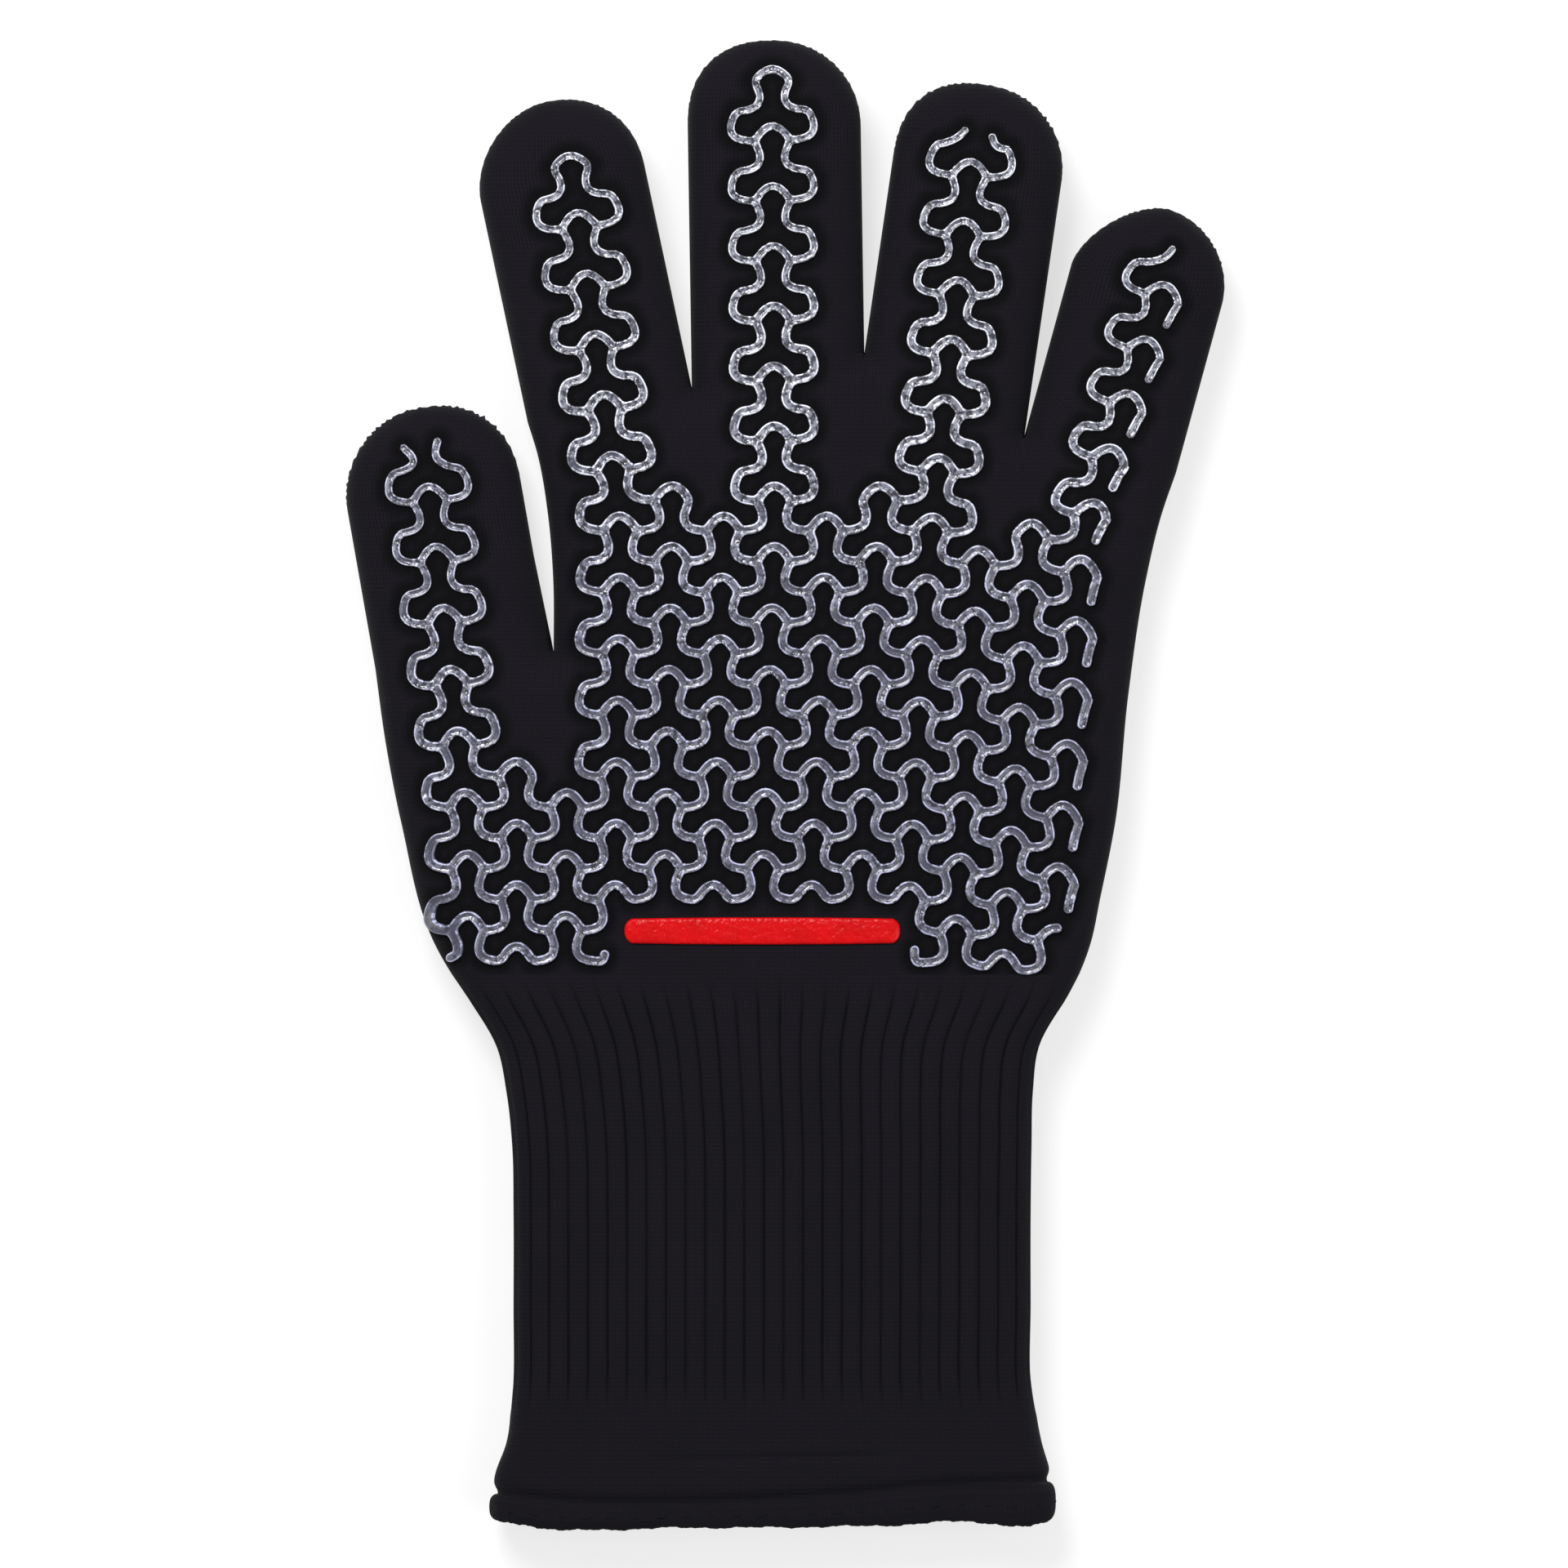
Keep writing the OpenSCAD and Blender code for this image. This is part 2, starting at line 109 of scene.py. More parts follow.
def crotch(left, right):
    """Where the right edge of one finger meets the left edge of the next."""
    a, b = left.point(left.half, 0), right.point(-right.half, 0)
    down = np.linalg.solve(np.array([left.along, -right.along]).T, b - a)
    return a + left.along * down[0]


# how far up from the roots the outer edges of three fingers meet the palm
THUMB_FOOT, INDEX_FOOT, LITTLE_FOOT = -6.0, -6.0, -8.0
# where the thumb parts from the palm, in the photograph
THUMB_CROTCH = (-50.9, 29.6)
# the root line of the four fingers, from the index's outer edge to the little finger's
root_line = [index.point(-index.half, INDEX_FOOT), crotch(index, middle), crotch(middle, ring),
             crotch(ring, little), little.point(little.half, LITTLE_FOOT)]
thumb_line = [thumb.point(-thumb.half, THUMB_FOOT), np.array(THUMB_CROTCH) + PHOTO_MIDDLE]


def eased(levels, values):
    """A smooth curve through points: cubic pieces with the slopes of the neighbouring chords, and straight
    past its ends."""
    levels, values = np.array(levels, float), np.array(values, float)
    slopes = np.gradient(values, levels)

    def curve(at):
        held = np.clip(at, levels[0], levels[-1])
        k = np.clip(np.searchsorted(levels, held) - 1, 0, len(levels) - 2)
        gap = levels[k + 1] - levels[k]
        t = (held - levels[k]) / gap
        start = (2 * t**3 - 3 * t**2 + 1) * values[k] + (t**3 - 2 * t**2 + t) * gap * slopes[k]
        stop = (3 * t**2 - 2 * t**3) * values[k + 1] + (t**3 - t**2) * gap * slopes[k + 1]
        beyond = np.where(at > held, slopes[-1], slopes[0]) * (at - held)
        return start + stop + beyond
    return curve


def edge(*points, last):
    """A side of the outline as x over y, through points of the photograph and one of the frame."""
    placed = [np.array(p) + PHOTO_MIDDLE for p in points] + [last]
    return eased([p[1] for p in placed], [p[0] for p in placed])


left_edge = edge(
    (-64.3, -165), (-63.9, -153), (-61.4, -146), (-60.3, -134), (-60.2, -115), (-60.2, -95), (-60.5, -80),
    (-61.8, -68), (-64.0, -58), (-70.5, -47), (-77.0, -36), (-84.6, -9), (-88.3, 10), last=thumb_line[0])
right_edge = edge(
    (59.8, -165), (59.4, -153), (57.4, -146), (55.5, -134), (55.4, -115), (55.4, -95), (55.6, -80),
    (55.9, -68), (57.3, -58), (63.4, -47), (68.0, -36), (70.4, -25), (73.6, -9), (76.6, 20), (80.4, 45),
    (84.0, 60), last=root_line[-1])
inner_edge = edge(THUMB_CROTCH, (-51.0, 45), (-52.2, 60), (-54.7, 74), last=root_line[0])


def within(side, x, y, sign):
    """Distance inside a side of the outline: the gap in x times the cosine of the side's slope."""
    slope = side(y + 0.5) - side(y - 0.5)
    return sign * (x - side(y)) / np.sqrt(1 + slope**2)


def finger_depth(f, x, y):
    """Half the width less the reach, which joins the distance from the axis and the one past the tip's centre
    by a power mean. Far below the root it falls off."""
    out, up = f.local(x, y)
    past = np.maximum(up - (f.length - f.half), 0)
    power = np.where(out < 0, *f.powers)
    reach = (np.abs(out) ** power + past**power) ** (1 / power)
    return f.half - reach - np.maximum(-up - ROOT_FADE, 0)


def larger(a, b):
    """The larger of two depths, rounded off where they are alike and both well inside."""
    soft = MEETING_SOFT * np.clip(np.minimum(a, b), 0, MEETING_DEPTH)
    return (a + b + np.sqrt((a - b) ** 2 + soft**2)) / 2


def depth(x, y):
    """How far a place lies inside the glove's outline: the largest of the depths in the palm, in its heel and
    in the fingers."""
    rights = within(right_edge, x, y, -1)
    roots = np.interp(x, [p[0] for p in root_line], [p[1] for p in root_line]) - y
    total = np.minimum(np.minimum(within(inner_edge, x, y, 1), rights), roots)
    heel = np.minimum(within(left_edge, x, y, 1), rights)
    total = larger(total, np.minimum(heel, thumb_line[1][1] - y))
    for f in fingers:
        total = larger(total, finger_depth(f, x, y))
    return np.maximum(total, 0)


# half the thickness over the level, which is less towards the hem
thinning = eased([-166, -160, -150, -134, -100, 0], [7.3, 7.5, 8.0] + [HALF_THICKNESS] * 3)


def lift(x, y):
    """Half the glove's thickness: a rounded edge that rises over EDGE_REACH and then stays level."""
    t = np.clip(depth(x, y) / EDGE_REACH, 0, 1)
    return thinning(y) * (1 - (1 - t) ** EDGE_POWER) ** (1 / EDGE_POWER)


def slack(x, y):
    """Slow dips of the loose upper face: three crossed waves between 0 and 1."""
    waves = np.sin(x / 17 + 0.8) * np.cos(y / 23) + np.sin(x / 9 - y / 14) + np.cos(x / 31 + y / 11 + 2)
    return (waves + 3) / 6


SLACK = 0.7


def top_face(x, y):
    """Height of the palm side: the middle plus half the thickness, less the dips, which fade with the square
    of the thickness towards the edge."""
    up = lift(x, y)
    return MID_Z + up - SLACK * slack(x, y) * (up / HALF_THICKNESS) ** 2


def under_face(x, y):
    """Height of the back of the hand, which lies on the table: the middle less half the thickness."""
    return MID_Z - lift(x, y)


def tube_rings(x, y):
    """Closed rings from a plan grid: the upper face from left to right, then the under face back from
    right to left."""
    upper, under = top_face(x, y), under_face(x, y)
    upper[:, [0, -1]] = MID_Z
    back = slice(-2, 0, -1)
    return np.stack([np.concatenate([x, x[:, back]], 1), np.concatenate([y, y[:, back]], 1),
                     np.concatenate([upper, under[:, back]], 1)], -1)


def outward(rings):
    """Unit normals of rings: the step round the ring crossed with the step along the tube."""
    round_step = np.roll(rings, -1, 1) - np.roll(rings, 1, 1)
    normal = np.cross(round_step, np.gradient(rings, axis=0))
    return normal / np.maximum(np.linalg.norm(normal, axis=-1, keepdims=True), 1e-9)


def inset(rings, wall):
    """The rings moved inwards by a wall, with the two faces kept on their own sides of the middle."""
    moved = rings - wall * outward(rings)
    upper = rings.shape[1] // 2
    moved[:, 1:upper, 2] = np.maximum(moved[:, 1:upper, 2], MID_Z + HOLLOW_HALF)
    moved[:, upper + 1:, 2] = np.minimum(moved[:, upper + 1:, 2], MID_Z - HOLLOW_HALF)
    return moved


def tube_faces(rows, around):
    """Quads between neighbouring rings, and which ring and place round it each corner has."""
    r, j = np.meshgrid(np.arange(rows - 1), np.arange(around), indexing="ij")
    corners = [(r, j), (r, j + 1), (r + 1, j + 1), (r + 1, j)]
    return np.stack([np.stack([a.ravel(), b.ravel()], -1) for a, b in corners], 1)


def new_piece(name, points, faces, uv, material):
    """A mesh object from points in millimetres, faces of any size and a place in the pattern for each corner.
    It is shaded smooth, and crisp where two faces meet at more than CRISP_ANGLE."""
    mesh = bpy.data.meshes.new(name)
    mesh.from_pydata(points * MM, [], faces, shade_flat=False)
    mesh.uv_layers.new(name="pattern").data.foreach_set("uv", (uv * MM).astype(np.float32).ravel())
    mesh.set_sharp_from_angle(angle=CRISP_ANGLE)
    mesh.materials.append(material)
    piece = bpy.data.objects.new(name, mesh)
    bpy.context.scene.collection.objects.link(piece)
    return piece


def round_places(rings):
    """Mean distance round the rings to each of their points, and to the first one again."""
    lengths = np.linalg.norm(np.roll(rings, -1, 1) - rings, axis=-1).mean(0)
    return np.concatenate([[0], np.cumsum(lengths)])


def walled(outer, inner, pole=None, round_place=None):
    """Points, faces and pattern places of a wall between two tubes, with a rim at each open end or a pole."""
    rows, around = outer.shape[:2]
    grid = tube_faces(rows, around)
    index_of = grid[..., 0] * around + grid[..., 1] % around
    round_place = round_places(outer) if round_place is None else round_place
    along_place = outer[..., 1]
    place = np.stack([round_place[grid[..., 1]], along_place[grid[..., 0], grid[..., 1] % around]], -1)
    shift = rows * around
    faces = [index_of, index_of[:, ::-1] + shift]
    places = [place, place[:, ::-1]]
    ends = [(0, 1)] if pole is not None else [(0, 1), (rows - 1, -1)]
    j = np.arange(around)
    for row, turn in ends:
        a, b = row * around + j, row * around + (j + 1) % around
        faces.append(np.stack([b, a, a + shift, b + shift], -1)[:, ::turn])
        places.append(np.zeros((around, 4, 2)))
    points = np.concatenate([outer.reshape(-1, 3), inner.reshape(-1, 3)])
    faces, places = np.concatenate(faces).tolist(), np.concatenate(places).reshape(-1, 2)
    if pole is not None:
        last = (rows - 1) * around
        a, b = last + j, last + (j + 1) % around
        outside = np.stack([a, b, np.full(around, len(points))], -1)
        inside = np.stack([b + shift, a + shift, np.full(around, len(points) + 1)], -1)
        points = np.concatenate([points, pole])
        faces += outside.tolist() + inside.tolist()
        near = np.stack([round_place[:-1], round_place[1:], (round_place[:-1] + round_place[1:]) / 2], -1)
        tip_place = np.stack([near, np.broadcast_to(pole[0][1], near.shape)], -1).reshape(-1, 2)
        places = np.concatenate([places, tip_place, tip_place])
    return points, faces, places


class Shade:
    """An output of a material's node: arithmetic on it adds Math nodes, add() makes any other node, and
    other() gives another output of the same node."""

    def __init__(self, tree, socket=None):
        self.tree, self.socket = tree, socket

    def add(self, kind, settings=None, inputs=None, output=0):
        node = self.tree.nodes.new("ShaderNode" + kind)
        for key, value in (settings or {}).items():
            setattr(node, key, value)
        for key, value in (inputs or {}).items():
            if isinstance(value, Shade):
                self.tree.links.new(value.socket, node.inputs[key])
            else:
                node.inputs[key].default_value = value
        return Shade(self.tree, node.outputs[output] if len(node.outputs) else None)

    def other(self, output):
        return Shade(self.tree, self.socket.node.outputs[output])

    def math(self, operation, *values):
        return self.add("Math", {"operation": operation}, dict(enumerate(values)))

    def __add__(self, other):
        return self.math("ADD", self, other)

    def __sub__(self, other):
        return self.math("SUBTRACT", self, other)

    def __rsub__(self, other):
        return self.math("SUBTRACT", other, self)

    def __mul__(self, other):
        return self.math("MULTIPLY", self, other)

    __radd__ = __add__
    __rmul__ = __mul__


def blank_material(name):
    """A material without nodes, and a Shade to build them from."""
    material = bpy.data.materials.new(name)
    material.use_nodes = True
    material.node_tree.nodes.clear()
    return material, Shade(material.node_tree)


def surface(shade, **inputs):
    """The material's Principled surface; underscores in the names stand for spaces."""
    named = {key.replace("_", " "): value for key, value in inputs.items()}
    shader = shade.add("BsdfPrincipled", {}, named)
    shade.add("OutputMaterial", {}, {"Surface": shader})


def mixed(shade, share, low, high):
    """A colour between two, by a share; each is written out or comes from another node.
    A share that is a number gives a written colour."""
    if not isinstance(share, Shade):
        return tuple(np.array(low) * (1 - share) + np.array(high) * share)
    low, high = [c if isinstance(c, Shade) else (*c, 1) for c in (low, high)]
    return shade.add("Mix", {"data_type": "RGBA"}, {"Factor": share, 6: low, 7: high}, 2)


def risen(shade, value, start, stop):
    """How far a value has come from start to stop, eased at both ends and held at 0 and 1."""
    return shade.add("MapRange", {"interpolation_type": "SMOOTHSTEP"},
                     {"Value": value, "From Min": start, "From Max": stop})


def noise(shade, vector, per_metre, detail=2.0):
    """A noise value with features of about one part in per_metre of a metre."""
    return shade.add("TexNoise", {}, {"Vector": vector, "Scale": per_metre, "Detail": detail})


YARN_DARK, YARN_LIGHT = (0.0016, 0.0013, 0.0024), (0.0110, 0.0096, 0.0140)
# painted shade for yarn deep in a groove and for yarn near the print, and how much of it is painted near the
# print
YARN_SHADED = (0.0009, 0.0008, 0.0010)
PRINT_SHADE_SHARE = 0.8
# a loop's lean in courses for each wale, and its height
LOOP_LEAN, LOOP_HEIGHT = 1.3, 0.4
FUZZ_PER_METRE, WEAR_PER_METRE = 2600, 60


def knit_material(name, dark, light, wale, course, bump, roughness, grooves=None):
    """Plain knitting: in each wale two leaning rows of loops form a V.
    The loops are a rectified sine along the wale, shifted by the distance from its middle, under a sine
    across each leg. Grooves, if given, tell from the two places in the pattern how much painted shade lies
    there. Near the print, as the mesh's attribute says, painted shade darkens the yarn as well."""
    material, shade = blank_material(name)
    pattern = shade.add("UVMap", {"uv_map": "pattern"})
    parts = shade.add("SeparateXYZ", {}, {"Vector": pattern})
    across, along = parts, parts.other(1)
    leg = shade.math("ABSOLUTE", shade.math("FRACT", across * (1 / (wale * MM))) - 0.5)
    turn = (along * (1 / (course * MM)) + leg * LOOP_LEAN) * np.pi
    loops = shade.math("ABSOLUTE", shade.math("SINE", turn))
    legs = shade.math("SINE", leg * (2 * np.pi))
    yarn = legs * (loops * 0.75 + 0.25)
    fuzz = noise(shade, pattern, FUZZ_PER_METRE, 3)
    worn = noise(shade, pattern, WEAR_PER_METRE, 3)
    height = yarn + fuzz * 0.5
    relief = shade.add("Bump", {}, {"Strength": bump, "Distance": LOOP_HEIGHT * MM, "Height": height})
    colour = mixed(shade, yarn * 0.45 + fuzz * 0.35 + worn * 0.3, dark, light)
    # painted shade: the yarn near the print is darkened, and so are the grooves
    painted_shade = shade.add("Attribute", {"attribute_name": "print_shade"}, {}, 2) * PRINT_SHADE_SHARE
    if grooves:
        painted_shade = painted_shade + grooves(shade, across, along)
    colour = mixed(shade, painted_shade, colour, YARN_SHADED)
    surface(shade, Base_Color=colour, Roughness=roughness + worn * 0.1,
            Specular_IOR_Level=0.067, Sheen_Weight=0.022, Sheen_Roughness=0.5, Normal=relief)
    return material


shell_knit = knit_material("shell_knit", YARN_DARK, YARN_LIGHT,
                           wale=1.25, course=0.95, bump=0.35, roughness=0.8)


def closer_at_edges(columns, closeness):
    """Shares of a width for columns: even spacing, mixed by a closeness with the cosine's, which is closer at
    both edges."""
    share = np.linspace(0, 1, columns + 1)
    return (1 - closeness) * share + closeness / 2 * (1 - np.cos(np.pi * share))


FINGER_COLUMNS = 36
spread = closer_at_edges(FINGER_COLUMNS, 0.5)
# rows of a length between two cuts, of a tip's straight part and of its round end
BONE_ROWS, STRAIGHT_ROWS, TIP_ROWS = 26, 13, 44
# how far up from its root a finger's bend starts
ROOT_START = -5.0
# the share of the round end at which loose loops have their full length, and how far from the middle
# they stop
RAGGED_FULL, RAGGED_BAND = 0.6, 4.0


def plan_between(low, high, rows):
    """A plan grid of straight columns between a lower and an upper row of points."""
    t = np.linspace(0, 1, rows)[:, None, None]
    grid = low * (1 - t) + high * t
    return grid[..., 0], grid[..., 1]


def straight_row(a, b):
    """A finger's columns along the line from one place to another."""
    return a + spread[:, None] * (b - a)


def finger_splits(f):
    """Where a finger's tube is cut: halfway between its hinges."""
    return [(a + b) / 2 for a, b in zip(f.bends[:-1], f.bends[1:])]


def finger_plans(f, start):
    """The plan grid of each length of a finger: from its root line to the first cut, between cuts, and on to
    the tip, whose two sides are arcs of a power mean."""
    rows = [straight_row(*start)]
    rows += [straight_row(f.point(-f.half, s), f.point(f.half, s)) for s in finger_splits(f)]
    plans = [plan_between(low, high, BONE_ROWS) for low, high in zip(rows[:-1], rows[1:])]
    centre = f.length - f.half
    straight = np.linspace(finger_splits(f)[-1], centre, STRAIGHT_ROWS + 1)[:-1]
    rounding = f.half * np.sin(np.linspace(0, np.pi / 2, TIP_ROWS)[:-1])
    ups = np.concatenate([straight, centre + rounding])
    past = np.concatenate([np.zeros(STRAIGHT_ROWS), rounding])
    left, right = [((f.half**power - past**power) ** (1 / power))[:, None] for power in f.powers]
    tip = f.root + (spread * (left + right) - left)[..., None] * f.across + ups[:, None, None] * f.along
    return plans + [(tip[..., 0], tip[..., 1])]


def ragged_tip(rings, f):
    """A tip's rings with loops of yarn standing out along its edge, by crossed waves of the way round
    the tip."""
    out, up = f.local(rings[..., 0], rings[..., 1])
    past = up - f.length + f.half
    way = np.arctan2(out, past) * f.half
    waves = np.sin(3.1 * way) * np.sin(0.9 * way + 1) + 0.6 * np.sin(4.3 * way + 2)
    at_tip = np.clip(past / (RAGGED_FULL * f.half), 0, 1)
    at_edge = np.clip(1 - np.abs(rings[..., 2] - MID_Z) / RAGGED_BAND, 0, 1)
    return rings + outward(rings) * (f.ragged * waves * at_tip * at_edge)[..., None]


def across_hinge(piece, f, k):
    """Works out where the bend across a finger's hinge starts and ends, as far as the cuts before and after
    it, and bakes the piece's place into its mesh."""
    before = ROOT_START if k == 0 else f.bends[k] - f.reach
    start, end = [(*f.point(0.0, up) * MM, MID_Z * MM) for up in (before, f.bends[k] + f.reach)]
    f.bodies[k + 1]
    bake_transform(piece)


finger_starts = {"thumb": thumb_line, "index": root_line[0:2], "middle": root_line[1:3],
                 "ring": root_line[2:4], "little": root_line[3:5]}
finger_rings = {}
# the tubes that carry the silicone grip
printed_knits = []
for f in fingers:
    for k, plan in enumerate(finger_plans(f, finger_starts[f.name])):
        closed = k == len(f.parts) - 1
        rings = ragged_tip(tube_rings(*plan), f) if closed else tube_rings(*plan)
        finger_rings[f.name, k] = rings
        tip = np.array([[*f.point(0.0, f.length), MID_Z], [*f.point(0.0, f.length - SHELL_WALL), MID_Z]])
        wall = walled(rings, inset(rings, SHELL_WALL), tip if closed else None)
        piece = new_piece(f"{f.name}_{f.parts[k]}_knit", *wall, shell_knit)
        across_hinge(piece, f, k)
        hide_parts(f"{f.name}_{f.parts[k]}_shell")
        printed_knits.append(piece)


# Palm of the outer glove
# The tube of the hand, in the same plain stitch, that the five finger tubes run into.
# Its upper half lies below the four fingers, and its lower half takes in the thumb and the heel of the hand.

RIB_TOP = -42.0
UPPER_ROWS, LOWER_ROWS = 44, 52


def palm_plan(top, bottom_y, left, right, rows):
    """A plan grid up to a row of points: each column keeps its share of the width between the two sides."""
    share = (top[:, 0] - left(top[:, 1])) / (right(top[:, 1]) - left(top[:, 1]))
    t = np.linspace(0, 1, rows)[:, None]
    y = bottom_y + (top[:, 1] - bottom_y) * t
    return left(y) + (right(y) - left(y)) * share, y


root_rows = [straight_row(a, b)[:-1] for a, b in zip(root_line[:-1], root_line[1:])]
root_row = np.concatenate([*root_rows, root_line[-1:]])
upper_plan = palm_plan(root_row, thumb_line[1][1], inner_edge, right_edge, UPPER_ROWS)
upper_foot = np.stack([upper_plan[0][0], upper_plan[1][0]], -1)
thumb_row = np.concatenate([straight_row(*thumb_line)[:-1], upper_foot])
lower_plan = palm_plan(thumb_row, RIB_TOP, left_edge, right_edge, LOWER_ROWS)
palm_rings = [tube_rings(*upper_plan), tube_rings(*lower_plan)]


def joined(walls):
    """Several open walls as one mesh: the number of points before a wall is added to its faces."""
    points, faces, places = zip(*walls)
    shift = np.cumsum([0] + [len(p) for p in points])
    faces = np.concatenate([np.array(quads) + before for quads, before in zip(faces, shift)])
    return np.concatenate(points), faces.tolist(), np.concatenate(places)


palm_walls = [walled(rings, inset(rings, SHELL_WALL)) for rings in palm_rings]
palm_knit = new_piece("palm_knit", *joined(palm_walls), shell_knit)
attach(palm_knit, "palm")
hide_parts("palm_shell")
printed_knits.append(palm_knit)


# Ribbed cuff
# A long sleeve of the same yarn in rib stitch, so that it draws in round the wrist.
# Narrow grooves run its whole length and fade out towards the hem, where the fabric is let out.

CUFF_BOTTOM = -161.0
CUFF_COLUMNS, CUFF_ROWS = 220, 96
# a third of the rows lie in this height above the hem
HEM_ROW_SHARE, HEM_ROW_HEIGHT = 0.33, 15.0
RIB_PITCH, RIB_DEPTH, RIB_HALF_WIDTH = 4.45, 0.5, 0.75
# half the width of the line of painted shade in a groove
LINE_HALF_WIDTH = 0.34
FADE_IN = 9.0
RIB_LOW, RIB_GONE = -130.0, -140.0
FOLD_DEPTH, FOLD_HALF_WIDTH, FOLD_ABOVE = 1.1, 1.5, 0.4
CREASE_LEVEL, CREASE_SLOPE = -149.0, 0.02
CREASE_FROM, CREASE_TO, CREASE_FADE = -31.0, 27.0, 12.0
CREASE_DEPTH, CREASE_HALF_WIDTH = 0.5, 0.9
# the upper edge of the hem's binding, at shares of the sleeve's width from left to right
FOLD_LINE = eased([0, 0.2, 0.39, 0.585, 0.78, 1.0], [-157.4, -159.5, -159.1, -158.0, -155.8, -154.4])


def rib_groove_shade(shade, across, along):
    """Painted shade in the grooves: dark bell curves at every pitch, of uneven strength by a slow noise,
    fading at both ends."""
    turn = across * (1 / (RIB_PITCH * MM)) + 0.5
    off = (shade.math("FRACT", turn) - 0.5) * (RIB_PITCH / LINE_HALF_WIDTH)
    line = shade.math("EXPONENT", off * off * -1.0)
    faded_top = risen(shade, along, RIB_TOP * MM, (RIB_TOP - FADE_IN) * MM)
    faded = faded_top * risen(shade, along, RIB_GONE * MM, RIB_LOW * MM)
    strength = noise(shade, shade.add("CombineXYZ", {}, {0: turn * 0.7, 1: along * 14.0}), 1.0)
    return line * faded * (strength * 0.9 + 0.4)


# the rib knit darkens its grooves with painted shade
rib_knit = knit_material("rib_knit", YARN_DARK, YARN_LIGHT,
                         wale=1.1, course=0.95, bump=0.35, roughness=0.8, grooves=rib_groove_shade)


def cuff_plan(columns, rows, bottom):
    """A plan grid from the hem up to the palm, with its columns a little closer at the two edges."""
    share = closer_at_edges(columns, 0.2)
    levels = [bottom, bottom + HEM_ROW_HEIGHT, RIB_TOP]
    y = np.interp(np.linspace(0, 1, rows), [0, HEM_ROW_SHARE, 1], levels)[:, None]
    return left_edge(y) + (right_edge(y) - left_edge(y)) * share, y + 0 * share


def ribbed(rings, rib_place):
    """Rings with grooves pressed in: bell-shaped dips at every pitch round the sleeve, fading at both ends.
    A fold along the hem's binding and a crease above it are pressed in the same way."""
    x, y = rings[..., 0], rings[..., 1]
    off = (rib_place[:-1] + RIB_PITCH / 2) % RIB_PITCH - RIB_PITCH / 2
    fade_low = np.clip((y - RIB_GONE) / (RIB_LOW - RIB_GONE), 0, 1) ** 0.7
    fade = np.clip((RIB_TOP - y) / FADE_IN, 0, 1) * fade_low
    dip = RIB_DEPTH * fade * np.exp(-((off / RIB_HALF_WIDTH) ** 2))
    share = (x - left_edge(y)) / (right_edge(y) - left_edge(y))
    from_fold = y - FOLD_LINE(share) - FOLD_ABOVE
    dip = dip + FOLD_DEPTH * np.exp(-((from_fold / FOLD_HALF_WIDTH) ** 2))
    in_crease = np.clip((x - CREASE_FROM) / CREASE_FADE, 0, 1) * np.clip((CREASE_TO - x) / CREASE_FADE, 0, 1)
    from_crease = y - CREASE_LEVEL - CREASE_SLOPE * x
    dip = dip + CREASE_DEPTH * in_crease * np.exp(-((from_crease / CREASE_HALF_WIDTH) ** 2))
    return rings - outward(rings) * dip[..., None]


cuff_rings = tube_rings(*cuff_plan(CUFF_COLUMNS, CUFF_ROWS, CUFF_BOTTOM))
rib_place = round_places(cuff_rings)
# a whole number of ribs goes round the sleeve
rib_place *= round(rib_place[-1] / RIB_PITCH) * RIB_PITCH / rib_place[-1]
cuff_wall = walled(ribbed(cuff_rings, rib_place), inset(cuff_rings, SHELL_WALL), None, rib_place)
cuff_knit = new_piece("cuff_knit", *cuff_wall, rib_knit)


def across_wrist(piece):
    """Bakes the place of a piece of the sleeve into its mesh."""
    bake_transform(piece)


across_wrist(cuff_knit)
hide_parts("cuff_shell")


# Inner glove
# A second, thinner glove of soft cotton knit lies loose inside the outer one and is sewn to it at the hem.
# It follows the outer glove's shape with a small gap, and shows only in the mouth of the cuff.

# how far in from the outside of the glove its outer and its inner face lie
LINING_WALLS = (2.35, 3.95)
SLEEVE_COLUMNS, SLEEVE_ROWS = 110, 70
# how far the sleeve stops above the outer one's edge
SLEEVE_SHORT = 0.4
lining_knit = knit_material("lining_knit", (0.012, 0.012, 0.014), (0.034, 0.034, 0.038),
                            wale=1.6, course=1.2, bump=0.5, roughness=0.85)

for f in fingers:
    for k, part in enumerate(f.parts):
        rings = finger_rings[f.name, k]
        closed = k == len(f.parts) - 1
        tip = np.array([[*f.point(0.0, f.length - wall), MID_Z] for wall in LINING_WALLS])
        wall = walled(*[inset(rings, w) for w in LINING_WALLS], tip if closed else None)
        piece = new_piece(f"{f.name}_{part}_cotton", *wall, lining_knit)
        across_hinge(piece, f, k)
        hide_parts(f"{f.name}_{part}_lining")

palm_walls = [walled(*[inset(rings, w) for w in LINING_WALLS]) for rings in palm_rings]
palm_cotton = new_piece("palm_cotton", *joined(palm_walls), lining_knit)
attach(palm_cotton, "palm")
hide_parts("palm_lining")

sleeve_rings = tube_rings(*cuff_plan(SLEEVE_COLUMNS, SLEEVE_ROWS, CUFF_BOTTOM + SLEEVE_SHORT))
sleeve_wall = walled(*[inset(sleeve_rings, w) for w in LINING_WALLS])
cuff_cotton = new_piece("cuff_cotton", *sleeve_wall, lining_knit)
across_wrist(cuff_cotton)
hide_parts("cuff_lining")


# Hem binding
# A strip of the black knit folded over the raw edges of both gloves at the cuff's mouth and sewn through.
# It stands a little proud of the sleeve, and its lower edge is uneven.

# half the thickness of the folded tape, and how far in from the sleeve's face its middle lies
BINDING_HALF_WALL, BINDING_INSET = 2.75, 2.0
BINDING_COLUMNS, BINDING_POINTS = 260, 26
# the powers of its squarish profile, along the sleeve and through its wall
BINDING_UP_POWER, BINDING_OUT_POWER = 0.75, 0.6
